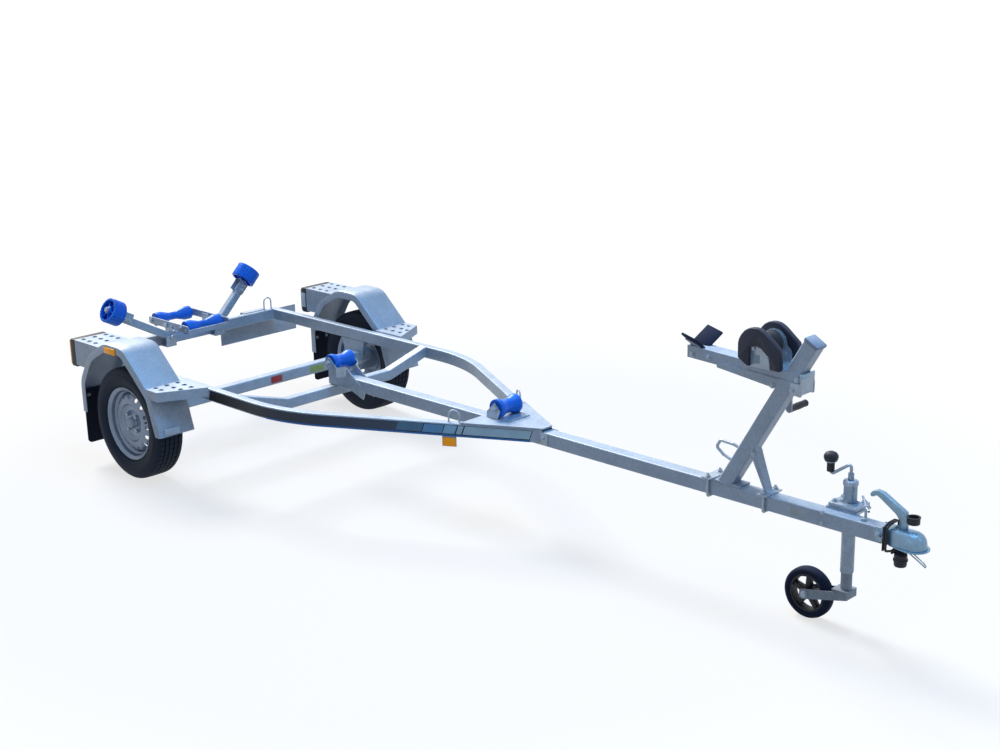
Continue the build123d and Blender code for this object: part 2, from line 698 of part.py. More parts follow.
with BuildPart() as cradle:
    with BuildSketch(Plane.XZ.offset(CRADLE_BAR_Y - 3)):
        with Locations((cross_x + (CRADLE_NOSE - CRADLE_REACH - 24) / 2, CRADLE_Z)):
            RectangleRounded(CRADLE_NOSE + CRADLE_REACH + 24, CRADLE_BAR, 12)
        with Locations((cross_x, CRADLE_PIN_Z)):
            Circle(PIN_RADIUS + RUNNING, mode=Mode.SUBTRACT)
    extrude(amount=6)
    mirror(about=Plane.XZ)
    # strap across the bars' front ends
    with Locations((cross_x + CRADLE_NOSE - 4, 0, CRADLE_Z - CRADLE_BAR / 2 + 4)):
        Box(6, 2 * CRADLE_BAR_Y, 26)
    for reach in (-CRADLE_REACH, CRADLE_REACH):
        with Locations(Plane((cross_x + reach, 0, CRADLE_Z), z_dir=(0, 1, 0))):
            Cylinder(PIN_RADIUS, 2 * CRADLE_BAR_Y + 20)
save(cradle, "cradle")

ARM_START = -14
BRACKET_BACK = 48         # end of an arm short of the middle of its roller
for side, sign in SIDES.items():
    lean = radians(ARM_ANGLES[side])
    drum_out = DRUM_OUT[side]
    arm_end = drum_out - BRACKET_BACK
    along = Vector(0, sign * cos(lean), sin(lean))
    pivot = Vector(arm_x, sign * ARM_PIVOT_Y, ARM_PIVOT_Z)
    # arm plane: z along the arm, x along the trailer, so y is across the arm
    arm_plane = Plane(pivot, x_dir=(1, 0, 0), z_dir=along)
    up = 1 if arm_plane.y_dir.Z > 0 else -1
    with BuildPart() as side_arm:
        with BuildSketch(arm_plane.offset(ARM_START)):
            tube_section(ARM_TUBE, ARM_TUBE)
        extrude(amount=arm_end - ARM_START)
        with BuildSketch(Plane(pivot - Vector(ARM_TUBE, 0, 0), x_dir=(0, 1, 0), z_dir=(1, 0, 0))):
            Circle(PIVOT_PIN + RUNNING)
        extrude(amount=2 * ARM_TUBE, mode=Mode.SUBTRACT)
        with BuildSketch(arm_plane.offset(arm_end - 60)):
            with Locations((0, up * (DRUM_UP / 2 + 2))):
                Rectangle(ARM_TUBE + 8, ARM_TUBE + DRUM_UP + 4)
                Rectangle(ARM_TUBE, ARM_TUBE + DRUM_UP + 4, mode=Mode.SUBTRACT)
        extrude(amount=60)
        with BuildSketch(arm_plane.offset(arm_end)):
            with Locations((0, up * (DRUM_UP / 2 + 2))):
                Rectangle(ARM_TUBE + 8, ARM_TUBE + DRUM_UP + 4)
        extrude(amount=5)
        with BuildSketch(arm_plane.offset(arm_end)):
            with Locations((0, up * DRUM_UP)):
                Circle(PIN_RADIUS)
        extrude(amount=drum_out + DRUM_WIDTH / 2 + 6 - arm_end)
    save(side_arm, f"side_arm_{side}")

    with BuildPart() as side_roller:
        with BuildSketch(arm_plane.offset(drum_out - DRUM_WIDTH / 2)):
            with Locations((0, up * DRUM_UP)):
                Circle(DRUM_RADIUS)
                Circle(DRUM_RADIUS - 12, mode=Mode.SUBTRACT)
                Circle(20)
                with PolarLocations(0, 6):
                    with Locations(((20 + DRUM_RADIUS - 10) / 2 - 2, 0)):
                        Rectangle(DRUM_RADIUS - 10 - 16, 6)
                Circle(PIN_RADIUS + RUNNING, mode=Mode.SUBTRACT)
        extrude(amount=DRUM_WIDTH)
    save(side_roller, f"side_roller_{side}")

# ---------------------------------------------------------------- winch post
lean = radians(POST_LEAN)
post_foot = Vector(ahead(POST_FOOT), 0, DRAWBAR_TOP)
post_plane = Plane(post_foot, x_dir=(0, 1, 0), z_dir=(sin(lean), 0, cos(lean)))
BASE = 8
with BuildPart() as winch_post:
    with BuildSketch(post_plane.offset(-POST)):
        tube_section(POST, POST, 4)
    extrude(amount=POST_LENGTH + POST)
    with Locations((ahead(POST_FOOT), 0, DRAWBAR_TOP + BASE)):
        Box(300, 300, 300, align=(Align.CENTER, Align.CENTER, Align.MAX), mode=Mode.SUBTRACT)
    with Locations((ahead(POST_FOOT) - 8, 0, DRAWBAR_TOP + BASE / 2)):
        Box(170, POST + 6, BASE)
save(winch_post, "winch_post")

CLAMP_ROD = 5
with BuildPart() as post_clamps:
    for station in (POST_FOOT - 68, POST_FOOT + 187):
        clamp_x = ahead(station)
        on_base = BASE if station < POST_FOOT else 0
        top = DRAWBAR_TOP + on_base
        leg_y = POST / 2 + CLAMP_ROD + 4
        with Locations((clamp_x, 0, top + 3)):
            Box(44, 2 * leg_y + 24, 6)
        with BuildLine(Plane.YZ.offset(clamp_x)) as bolt_path:
            FilletPolyline(
                (-leg_y, top + 22),
                (-leg_y, DRAWBAR_TOP - DRAWBAR - CLAMP_ROD),
                (leg_y, DRAWBAR_TOP - DRAWBAR - CLAMP_ROD),
                (leg_y, top + 22),
                radius=9,
            )
        with BuildSketch(Plane(bolt_path.line @ 0, z_dir=(0, 0, -1))):
            Circle(CLAMP_ROD)
        sweep(path=bolt_path.line)
    # plate across the front end of the winch beam
    with Locations((ahead(BEAM_FRONT) + 3, 0, beam_top(BEAM_FRONT) - 36)):
        Box(6, POST + 24, 76)
save(post_clamps, "post_clamps")

post_half = POST / 2 / cos(lean)
brace_top = DRAWBAR_TOP + 165
brace_x = ahead(POST_FOOT) + (brace_top - DRAWBAR_TOP) * tan(lean) + post_half
brace_foot = ahead(POST_FOOT + 187) - 8
with BuildPart() as post_brace:
    with BuildSketch(Plane.XZ):
        with BuildLine():
            Polyline(
                (brace_x - 30 * tan(lean), brace_top - 30),
                (brace_x, brace_top),
                (brace_foot + 8, DRAWBAR_TOP + 10),
                (brace_foot + 20, DRAWBAR_TOP + 6),
                (brace_foot, DRAWBAR_TOP + 6),
                close=True,
            )
        make_face()
    extrude(amount=20, both=True)
save(post_brace, "post_brace")

# Bent-rod eyes: lashing eyes on the rear corners and on the sloping rails, and the
# safety eye on the back of the post.
EYE_ROD = 4
EYE_SPAN = 48
EYE_FRONT = 1650
REAR_EYE_Y = 534
SAFETY_EYE_LOW = 86       # feet of the safety eye above the drawbar
SAFETY_EYE_HIGH = 152
with BuildPart() as rod_eyes:
    eye_front_y = (rail_end - ahead(EYE_FRONT)) * tan(radians(BEND_ANGLE))
    for eye_ahead, eye_y, eye_height, turn in [
        (REAR_CROSS, REAR_EYE_Y, 66, radians(90)), (EYE_FRONT, eye_front_y, 52, -radians(BEND_ANGLE)),
    ]:
        along_rail = (cos(turn), sin(turn), 0)
        across_rail = (sin(turn), -cos(turn), 0)
        with BuildLine(Plane((ahead(eye_ahead), eye_y, FRAME_TOP), x_dir=along_rail, z_dir=across_rail)) as eye_path:
            FilletPolyline(
                (-EYE_SPAN / 2, 0),
                (-EYE_SPAN / 2, eye_height),
                (EYE_SPAN / 2, eye_height),
                (EYE_SPAN / 2, 0),
                radius=EYE_SPAN / 2 - 1,
            )
        with BuildSketch(Plane(eye_path.line @ 0, z_dir=(0, 0, 1))):
            Circle(EYE_ROD)
        sweep(path=eye_path.line)
    mirror(about=Plane.XZ)

    low = DRAWBAR_TOP + SAFETY_EYE_LOW
    high = DRAWBAR_TOP + SAFETY_EYE_HIGH
    low_x = ahead(POST_FOOT) + (low - DRAWBAR_TOP) * tan(lean) - post_half
    high_x = ahead(POST_FOOT) + (high - DRAWBAR_TOP) * tan(lean) - post_half
    with BuildLine(Plane.XZ) as safety_path:
        FilletPolyline(
            (low_x + 6, low),
            (low_x - 42, low + 18),
            (low_x - 74, low + 42),
            (low_x - 56, high + 6),
            (high_x - 34, high + 2),
            (high_x + 6, high - 10),
            radius=12,
        )
    with BuildSketch(Plane(safety_path.line @ 0, z_dir=safety_path.line % 0)):
        Circle(EYE_ROD + 2)
    sweep(path=safety_path.line)
    with BuildSketch(post_plane.offset(-POST)):
        Rectangle(POST, POST)
    extrude(amount=POST_LENGTH + POST, mode=Mode.SUBTRACT)
save(rod_eyes, "rod_eyes")

V_ANGLE = 34
V_FALL = 15               # degrees that the V falls towards the front
V_LENGTH = 75             # along the trailer
V_SLAB = 102              # up each side of the V
V_THICK = 10
V_DROP = 12               # middle of the V's fold below the beam's top
v_x = ahead(BEAM_REAR) + 27


def v_plane(sign, lift):
    """Plane of one side of the bow stop, its y axis running up that side."""
    tilt, fall = radians(V_ANGLE), radians(V_FALL)
    forward = Vector(cos(fall), 0, -sin(fall))
    upright = Vector(sin(fall), 0, cos(fall))
    middle = Vector(v_x, 0, beam_top(BEAM_REAR + 27) - V_DROP) + upright * lift
    return Plane(middle, x_dir=forward, z_dir=upright * cos(tilt) - Vector(0, sin(tilt) * sign, 0))


# Winch beam: a channel that the post passes through, with a stiffening plate on each side
# and the folded V of the bow stop on its rear end.
beam_inner = POST / 2
with BuildPart() as winch_beam:
    for inner, thick, line in [
        (0, beam_inner + 4, [(BEAM_REAR, 0), (BEAM_FRONT, 0), (BEAM_FRONT, -4), (BEAM_REAR, -4)]),
        (beam_inner, 4, [(BEAM_REAR, 0), (BEAM_FRONT, 0), (BEAM_FRONT, -BEAM_DEPTH), (BEAM_REAR, -BEAM_DEPTH)]),
        (beam_inner + 4, 4, [
            (BEAM_REAR + 140, -BEAM_DEPTH + 12), (BEAM_REAR + 140, -BEAM_DEPTH - 8), (BEAM_FRONT - 115, -74),
            (BEAM_FRONT - 18, -78), (BEAM_FRONT, -66), (BEAM_FRONT, -BEAM_DEPTH + 12),
        ]),
    ]:
        with BuildSketch(Plane.XZ.offset(inner)):
            with BuildLine():
                Polyline(*[(ahead(along), beam_top(along) + drop) for along, drop in line], close=True)
            make_face()
        extrude(amount=thick)
    mirror(about=Plane.XZ)
    with BuildSketch(post_plane.offset(-POST)):
        Rectangle(POST, POST)
    extrude(amount=POST_LENGTH + 2 * POST, mode=Mode.SUBTRACT)
    for sign in SIDES.values():
        with BuildSketch(v_plane(sign, 0)):
            with Locations((0, sign * (V_SLAB - 36) / 2)):
                Rectangle(V_LENGTH - 14, V_SLAB - 30)
        extrude(amount=-4)
    # the slabs' seats, let into the beam's top
    for sign in SIDES.values():
        with BuildSketch(v_plane(sign, 0.5)):
            with Locations((0, sign * V_SLAB / 2)):
                Rectangle(V_LENGTH + 1, V_SLAB + 1)
        extrude(amount=V_THICK + 1, mode=Mode.SUBTRACT)
save(winch_beam, "winch_beam")

# Bow stop: two rubber slabs on the folded steel V at the beam's rear end.
with BuildPart() as bow_rubbers:
    for sign in SIDES.values():
        with BuildSketch(v_plane(sign, 1)):
            with Locations((0, sign * V_SLAB / 2)):
                Rectangle(V_LENGTH, V_SLAB)
        extrude(amount=V_THICK)
save(bow_rubbers, "bow_rubbers")

# ---------------------------------------------------------------- winch
winch_x = ahead(WINCH_AHEAD)
FRAME_Y = 44
BASE_REAR = WINCH_AHEAD - 63
BASE_FRONT = WINCH_AHEAD + 87
base_line = [
    (ahead(BASE_REAR), beam_top(BASE_REAR)), (ahead(BASE_FRONT), beam_top(BASE_FRONT)),
    (ahead(BASE_FRONT), beam_top(BASE_FRONT) + 5), (ahead(BASE_REAR), beam_top(BASE_REAR) + 5),
]
with BuildPart() as winch_frame:
    with BuildSketch(Plane.XZ.offset(FRAME_Y)):
        with Locations((winch_x, WINCH_Z)):
            Circle(52)
        with BuildLine():
            Polyline(*base_line[:2], (winch_x + 52, WINCH_Z), (winch_x - 52, WINCH_Z), close=True)
        make_face()
        with Locations((ahead(CRANK_AHEAD), CRANK_Z)):
            Circle(30)
    extrude(amount=4)
    mirror(about=Plane.XZ)
    with BuildSketch(Plane.XZ):
        with BuildLine():
            Polyline(*base_line, close=True)
        make_face()
    extrude(amount=FRAME_Y, both=True)
    with Locations(Plane((winch_x, 0, WINCH_Z), z_dir=(0, 1, 0))):
        Cylinder(8, 2 * FRAME_Y + 8)
    with Locations((ahead(CRANK_AHEAD), 0, CRANK_Z)):
        with Locations(Rotation(90, 0, 0)):
            Cylinder(8 + RUNNING, 4 * FRAME_Y, mode=Mode.SUBTRACT)
save(winch_frame, "winch_frame")

COVER_LINE = [            # (ahead of the axle, height)
    (3024, 980), (3024, 1052), (3042, 1090), (3084, 1117), (3122, 1117), (3153, 1099), (3208, 1043),
    (3210, 976),
]
with BuildPart() as winch_covers:
    with BuildSketch(Plane.XZ.offset(FRAME_Y + 4)):
        with BuildLine():
            Polyline(*[(ahead(along), z) for along, z in COVER_LINE], close=True)
        make_face()
        fillet(vertices(), radius=12)
    extrude(amount=26)
    fillet(winch_covers.faces().sort_by(Axis.Y)[0].edges(), radius=5)
    mirror(about=Plane.XZ)
    with Locations((ahead(CRANK_AHEAD), 0, CRANK_Z)):
        with Locations(Rotation(90, 0, 0)):
            Cylinder(12, 400, mode=Mode.SUBTRACT)
save(winch_covers, "winch_covers")

with BuildPart() as winch_drum:
    drum_plane = Plane((winch_x, 0, WINCH_Z), x_dir=(1, 0, 0), z_dir=(0, 0, -1))
    with BuildSketch(drum_plane):
        with BuildLine():
            Polyline(
                (8 + RUNNING, -38), (50, -38), (50, -35), (22, -35),
                (22, 35), (50, 35), (50, 38), (8 + RUNNING, 38),
                close=True,
            )
        make_face()
    revolve(axis=Axis(drum_plane.origin, (0, 1, 0)))
save(winch_drum, "winch_drum")

with BuildPart() as winch_strap:
    with BuildSketch(drum_plane):
        with Locations((34, 0)):
            Rectangle(23.4, 60)
    revolve(axis=Axis(drum_plane.origin, (0, 1, 0)))
save(winch_strap, "winch_strap")

crank_x = ahead(CRANK_AHEAD)
ARM_PLATE_Y = FRAME_Y + 4 + 26 + 8
with BuildPart() as winch_crank:
    with BuildSketch(Plane.XZ.offset(-FRAME_Y + 5)):
        with Locations((crank_x, CRANK_Z)):
            Circle(8)
    extrude(amount=-(ARM_PLATE_Y + 12 - FRAME_Y + 5))
    with BuildSketch(Plane.XZ.offset(-ARM_PLATE_Y)):
        with Locations((crank_x, CRANK_Z)):
            Circle(16)
        with Locations((crank_x, CRANK_Z - CRANK_ARM)):
            Circle(13)
        with Locations((crank_x, CRANK_Z - CRANK_ARM / 2)):
            Rectangle(24, CRANK_ARM)
    extrude(amount=-6)
    with BuildSketch(Plane.XZ.offset(-ARM_PLATE_Y - 3)):
        with Locations((crank_x, CRANK_Z - CRANK_ARM)):
            Circle(6)
    extrude(amount=-118)
save(winch_crank, "winch_crank")

with BuildPart() as crank_grip:
    with BuildSketch(Plane.XZ.offset(-ARM_PLATE_Y - 8)):
        with Locations((crank_x, CRANK_Z - CRANK_ARM)):
            Circle(14)
            Circle(6, mode=Mode.SUBTRACT)
    extrude(amount=-104)
save(crank_grip, "crank_grip")

# ---------------------------------------------------------------- jockey wheel
jack_x = ahead(JACK_AHEAD)
TUBE_RUNNING = 0.5
CLAMP_PLATE = 128
CLAMP_ALIGN = (Align.CENTER, Align.MIN, Align.CENTER)
with BuildPart() as jack_clamp:
    for z in (DRAWBAR_TOP + 4, DRAWBAR_TOP - DRAWBAR - 4):
        with Locations((jack_x, DRAWBAR / 2 - 14, z)):
            Box(CLAMP_PLATE, JACK_Y + JACK_TUBE / 2 + 14 - DRAWBAR / 2 + 14, 8, align=CLAMP_ALIGN)
    with Locations((jack_x, DRAWBAR / 2 + 4, drawbar_z)):
        Box(CLAMP_PLATE, 8, DRAWBAR)
    with Locations((jack_x, (DRAWBAR / 2 + JACK_Y) / 2, drawbar_z)):
        Box(40, JACK_Y - DRAWBAR / 2, DRAWBAR)
    with Locations((jack_x, JACK_Y, drawbar_z)):
        Cylinder(JACK_TUBE / 2 + 8, DRAWBAR)
        Cylinder(JACK_TUBE / 2 + TUBE_RUNNING, 3 * DRAWBAR, mode=Mode.SUBTRACT)
save(jack_clamp, "jack_clamp")

with BuildPart() as jack_tube:
    with BuildSketch(Plane.XY.offset(JACK_TUBE_BOTTOM)):
        with Locations((jack_x, JACK_Y)):
            Circle(JACK_TUBE / 2)
            Circle(JACK_LEG / 2 + TUBE_RUNNING, mode=Mode.SUBTRACT)
    extrude(amount=JACK_TOP - 24 - JACK_TUBE_BOTTOM)
    with BuildSketch(Plane.XY.offset(JACK_TOP - 24)):
        with Locations((jack_x, JACK_Y)):
            Circle(JACK_TUBE / 2 + 1)
    extrude(amount=10)
    with BuildSketch(Plane.XY.offset(JACK_TOP - 14)):
        with Locations((jack_x, JACK_Y)):
            Circle(11)
    extrude(amount=14 + JACK_NECK)
save(jack_tube, "jack_tube")

KNOB_REACH = 86
KNOB_LINE = [(0, 2), (13, 2), (13, 34), (22, 40), (26, 52), (23, 63), (13, 71), (0, 73)]
with BuildPart() as jack_crank:
    with BuildLine(Plane.XZ.offset(-JACK_Y)) as crank_path:
        FilletPolyline(
            (jack_x, JACK_TOP + JACK_NECK),
            (jack_x, JACK_TOP + 50),
            (jack_x - KNOB_REACH, JACK_TOP - 12),
            (jack_x - KNOB_REACH, JACK_TOP + 46),
            radius=9,
        )
    with BuildSketch(Plane(crank_path.line @ 0, z_dir=(0, 0, 1))):
        Circle(6)
    sweep(path=crank_path.line)
    with BuildSketch(Plane.XZ.offset(-JACK_Y)):
        with BuildLine():
            Polyline(
                *[(jack_x - KNOB_REACH + r, JACK_TOP + z) for r, z in KNOB_LINE],
                close=True,
            )
        make_face()
    revolve(axis=Axis((jack_x - KNOB_REACH, JACK_Y, JACK_TOP), (0, 0, 1)))
save(jack_crank, "jack_crank")

LEG_BOTTOM = 160
LEG_LENGTH = 350
with BuildPart() as jack_leg:
    with BuildSketch(Plane.XY.offset(LEG_BOTTOM)):
        with Locations((jack_x, JACK_Y)):
            Circle(JACK_LEG / 2)
    extrude(amount=LEG_LENGTH)
save(jack_leg, "jack_leg")

FORK_HALF = JOCKEY_WIDTH / 2 + 5
FORK_PLATE = 4
jockey_x = jack_x - JOCKEY_TRAIL
with BuildPart() as jack_fork:
    for sign in SIDES.values():
        with BuildSketch(Plane.XZ.offset(-JACK_Y - sign * FORK_HALF)):
            with BuildLine():
                Polyline(
                    (jockey_x - 22, JOCKEY_RADIUS - 16),
                    (jockey_x - 22, JOCKEY_RADIUS + 16),
                    (jockey_x - 8, JOCKEY_RADIUS + 20),
                    (jack_x + 24, LEG_BOTTOM - 0.3),
                    (jack_x + 24, LEG_BOTTOM - 32),
                    (jockey_x - 8, JOCKEY_RADIUS - 20),
                    close=True,
                )
            make_face()
        extrude(amount=-sign * FORK_PLATE)
    with Locations((jack_x - 8, JACK_Y, LEG_BOTTOM - 0.3 - 4)):
        Box(64, 2 * FORK_HALF + 2 * FORK_PLATE, 8)
    with Locations((jack_x + 22, JACK_Y, LEG_BOTTOM - 0.3 - 16)):
        Box(4, 2 * FORK_HALF + 2 * FORK_PLATE, 32)
    with Locations((jockey_x, JACK_Y, JOCKEY_RADIUS)):
        with Locations(Rotation(90, 0, 0)):
            Cylinder(PIN_RADIUS, 2 * FORK_HALF + 2 * FORK_PLATE + 14)
save(jack_fork, "jack_fork")

with BuildPart() as jockey_wheel:
    jockey_plane = Plane((jockey_x, JACK_Y, JOCKEY_RADIUS), x_dir=(1, 0, 0), z_dir=(0, 0, -1))
    half = JOCKEY_WIDTH / 2
    with BuildSketch(jockey_plane):
        with BuildLine():
            Polyline(
                (PIN_RADIUS + RUNNING, -half), (22, -half), (26, -6), (58, -6), (66, -half + 3),
                (JOCKEY_RADIUS - 12, -half), (JOCKEY_RADIUS, -half + 14), (JOCKEY_RADIUS, half - 14),
                (JOCKEY_RADIUS - 12, half), (66, half - 3), (58, 6), (26, 6), (22, half),
                (PIN_RADIUS + RUNNING, half),
                close=True,
            )
        make_face()
    revolve(axis=Axis(jockey_plane.origin, (0, 1, 0)))
save(jockey_wheel, "jockey_wheel")

# ---------------------------------------------------------------- coupler
ball_x = ahead(BALL_AHEAD)
COUPLER_REAR = 3590
COUPLER_BOTTOM = 412
FLANGE = 6
nose_radius = NOSE - BALL_AHEAD
body_radius = BALL / 2 + COUPLER_WALL + 10
coupler_half = DRAWBAR / 2 + COUPLER_WALL
coupler_top = DRAWBAR_TOP + COUPLER_WALL
with BuildPart() as coupler:
    with BuildSketch(Plane.XY.offset(COUPLER_BOTTOM)):
        with Locations(((ahead(COUPLER_REAR) + ball_x) / 2, 0)):
            Rectangle(ball_x - ahead(COUPLER_REAR), 2 * coupler_half)
        with Locations((ball_x, 0)):
            Circle(body_radius)
    extrude(amount=coupler_top - COUPLER_BOTTOM)
    with BuildSketch(Plane.XZ.offset(-100)):
        with BuildLine():
            Polyline(
                (ball_x - 10, coupler_top + 1),
                (ball_x + 60, coupler_top + 1),
                (ball_x + 60, coupler_top - 40),
                (ball_x + 34, coupler_top - 14),
                close=True,
            )
        make_face()
    extrude(amount=200, mode=Mode.SUBTRACT)
    # the drawbar's seat, then the hollow ahead of it, open below
    with Locations((ahead(COUPLER_REAR), 0, DRAWBAR_TOP)):
        Box(
            2 * (DRAWBAR_FRONT - COUPLER_REAR), DRAWBAR, 2 * DRAWBAR,
            align=(Align.CENTER, Align.CENTER, Align.MAX), mode=Mode.SUBTRACT,
        )
    with Locations((ahead(DRAWBAR_FRONT) + 32, 0, COUPLER_BOTTOM)):
        Box(50, DRAWBAR - 10, 2 * (DRAWBAR - 16), mode=Mode.SUBTRACT)
    with BuildSketch(Plane.XY.offset(COUPLER_BOTTOM - FLANGE)):
        with Locations((ball_x, 0)):
            Circle(nose_radius)
        with Locations((ball_x - 30, 0)):
            Rectangle(60, 2 * (coupler_half + 10))
    extrude(amount=FLANGE)
    # ball socket
    with Locations((ball_x, 0, COUPLER_BOTTOM - FLANGE)):
        Cylinder(BALL / 2 + 0.4, 2 * 22, mode=Mode.SUBTRACT)
    with Locations((ball_x, 0, COUPLER_BOTTOM - FLANGE + 22)):
        Sphere(BALL / 2 + 0.4, mode=Mode.SUBTRACT)
save(coupler, "coupler")

HANDLE_TIP = (3560, 604)
with BuildPart() as coupler_handle:
    handle_x = ahead(BALL_AHEAD - 52)
    tip_x = ahead(HANDLE_TIP[0])
    with BuildSketch(Plane.XZ):
        with BuildLine():
            Polyline(
                (handle_x - 18, coupler_top),
                (handle_x + 18, coupler_top),
                (handle_x + 20, coupler_top + 34),
                (tip_x + 30, HANDLE_TIP[1] + 2),
                (tip_x + 4, HANDLE_TIP[1]),
                (tip_x - 6, HANDLE_TIP[1] - 22),
                (tip_x + 8, HANDLE_TIP[1] - 20),
                (tip_x + 26, HANDLE_TIP[1] - 16),
                (handle_x - 14, coupler_top + 22),
                close=True,
            )
        make_face()
    extrude(amount=12, both=True)
save(coupler_handle, "coupler_handle")

with BuildPart() as plug_rest:
    with Locations((ball_x - 12, 0, coupler_top + 19)):
        with Locations(Rotation(0, 90, 0)):
            Cylinder(19, 40)
            Cylinder(14, 30, align=(Align.CENTER, Align.CENTER, Align.MIN), mode=Mode.SUBTRACT)
save(plug_rest, "plug_rest")

# Lighting cable: two turns round the coupler's neck, then down to the hanging plug.
CABLE_RADIUS = 4
PLUG = (BALL_AHEAD - 47, -22, 386)
with BuildPart() as light_cable:
    cable_y = coupler_half + CABLE_RADIUS + 2
    cable_top = coupler_top + CABLE_RADIUS + 2
    cable_low = COUPLER_BOTTOM - CABLE_RADIUS - 2
    for turn in (0, 9):
        with BuildLine(Plane.YZ.offset(ahead(BALL_AHEAD - 112 + turn))) as turn_path:
            FilletPolyline(
                (-cable_y, cable_top), (cable_y, cable_top), (cable_y, cable_low), (-cable_y, cable_low),
                radius=10, close=True,
            )
        with BuildSketch(Plane(turn_path.wire() @ 0, z_dir=turn_path.wire() % 0)):
            Circle(CABLE_RADIUS)
        sweep(path=turn_path.wire())
    with BuildLine(Plane.XZ.offset(-PLUG[1])) as tail_path:
        FilletPolyline(
            (ahead(BALL_AHEAD - 107), cable_low),
            (ahead(PLUG[0] - 22), cable_low - 6),
            (ahead(PLUG[0]), cable_low - 8),
            (ahead(PLUG[0]), PLUG[2] - 2),
            radius=[8, 5],
        )
    with BuildSketch(Plane(tail_path.line @ 0, z_dir=tail_path.line % 0)):
        Circle(CABLE_RADIUS)
    sweep(path=tail_path.line)
save(light_cable, "light_cable")

with BuildPart() as light_plug:
    with Locations((ahead(PLUG[0]), PLUG[1], PLUG[2] - 2)):
        Cylinder(21, 50, align=(Align.CENTER, Align.CENTER, Align.MAX))
    fillet(light_plug.edges().sort_by(Axis.Z)[-1], radius=6)
save(light_plug, "light_plug")

WIRE_RADIUS = 2
WIRE_Y = BALL / 2 + 9     # beside the ball's way in
with BuildPart() as breakaway_wire:
    with BuildLine(Plane.XZ.offset(WIRE_Y)) as wire_path:
        FilletPolyline(
            (ahead(BALL_AHEAD - 48), COUPLER_BOTTOM),
            (ahead(BALL_AHEAD - 8), COUPLER_BOTTOM - 24),
            (ahead(BALL_AHEAD + 40), COUPLER_BOTTOM - 48),
            (ahead(BALL_AHEAD + 48), COUPLER_BOTTOM - 42),
            (ahead(BALL_AHEAD + 2), COUPLER_BOTTOM - 14),
            (ahead(BALL_AHEAD - 40), COUPLER_BOTTOM),
            radius=3,
        )
    with BuildSketch(Plane(wire_path.line @ 0, z_dir=wire_path.line % 0)):
        Circle(WIRE_RADIUS)
    sweep(path=wire_path.line)
    with Locations((ball_x - 30, 0, COUPLER_BOTTOM - FLANGE)):
        Box(60, 100, 20, align=(Align.CENTER, Align.CENTER, Align.MIN), mode=Mode.SUBTRACT)
save(breakaway_wire, "breakaway_wire")
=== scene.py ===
# A galvanised single-axle boat trailer on its jockey wheel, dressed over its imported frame.
# Lengths are metres; x points ahead, y to the left and z up, from an origin on the floor.
import json
from math import atan2, cos, pi, radians, sin, tan

import bpy
from mathutils import Matrix, Vector


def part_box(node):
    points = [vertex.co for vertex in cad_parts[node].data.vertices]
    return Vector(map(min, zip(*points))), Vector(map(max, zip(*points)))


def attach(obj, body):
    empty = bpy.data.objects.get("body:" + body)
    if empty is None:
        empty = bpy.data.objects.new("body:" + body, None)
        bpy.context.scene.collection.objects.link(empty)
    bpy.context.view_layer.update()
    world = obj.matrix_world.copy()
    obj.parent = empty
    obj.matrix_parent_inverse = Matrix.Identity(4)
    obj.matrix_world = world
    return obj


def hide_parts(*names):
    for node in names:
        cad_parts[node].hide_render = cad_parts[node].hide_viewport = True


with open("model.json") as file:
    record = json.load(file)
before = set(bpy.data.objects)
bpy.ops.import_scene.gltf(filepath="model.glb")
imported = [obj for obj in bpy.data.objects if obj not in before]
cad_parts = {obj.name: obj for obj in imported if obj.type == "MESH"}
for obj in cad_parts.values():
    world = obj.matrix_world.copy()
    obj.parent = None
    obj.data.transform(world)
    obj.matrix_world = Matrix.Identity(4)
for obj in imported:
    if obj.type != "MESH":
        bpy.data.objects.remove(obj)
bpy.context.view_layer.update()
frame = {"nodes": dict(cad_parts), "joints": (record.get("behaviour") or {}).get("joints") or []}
bpy.ops.object.select_all(action="DESELECT")
scene = bpy.context.scene
scene.view_settings.view_transform = "Standard"


# ---- Camera ------------------------------------------------------------------------------------
# It stands ahead of the trailer and to its right, well above the winch, and looks back down the
# drawbar through a normal lens.
CAMERA_PLACE = Vector((4.69851, -4.48121, 2.51430))
CAMERA_TURN = radians(44.86431)
CAMERA_TILT = radians(16.25659)
CAMERA_ROLL = radians(-1.24188)
FOCAL_LENGTH, SENSOR_WIDTH = 55.2049, 36
bpy.ops.object.camera_add()
camera = bpy.context.object
camera.name = "camera"
camera.data.lens = FOCAL_LENGTH
camera.data.sensor_width = SENSOR_WIDTH
camera.matrix_world = (
    Matrix.Translation(CAMERA_PLACE)
    @ Matrix.Rotation(CAMERA_TURN, 4, "Z")
    @ Matrix.Rotation(pi / 2 - CAMERA_TILT, 4, "X")
    @ Matrix.Rotation(CAMERA_ROLL, 4, "Z")
)
scene.camera = camera


# ---- White room --------------------------------------------------------------------------------
# The walls are white to the camera, in reflections and through clear plastic. They light the
# trailer only faintly and in blue, as an open sky does, and leave its shape to the lamps.
def seen_directly(tree):
    """A level of 1 for camera, mirrored and see-through rays, and 0 for light that bounces."""
    path = tree.nodes.new("ShaderNodeLightPath")
    level = path.outputs["Is Camera Ray"]
    for ray in ("Is Glossy Ray", "Is Transmission Ray"):
        larger = tree.nodes.new("ShaderNodeMath")
        larger.operation = "MAXIMUM"
        tree.links.new(level, larger.inputs[0])
        tree.links.new(path.outputs[ray], larger.inputs[1])
        level = larger.outputs[0]
    return level


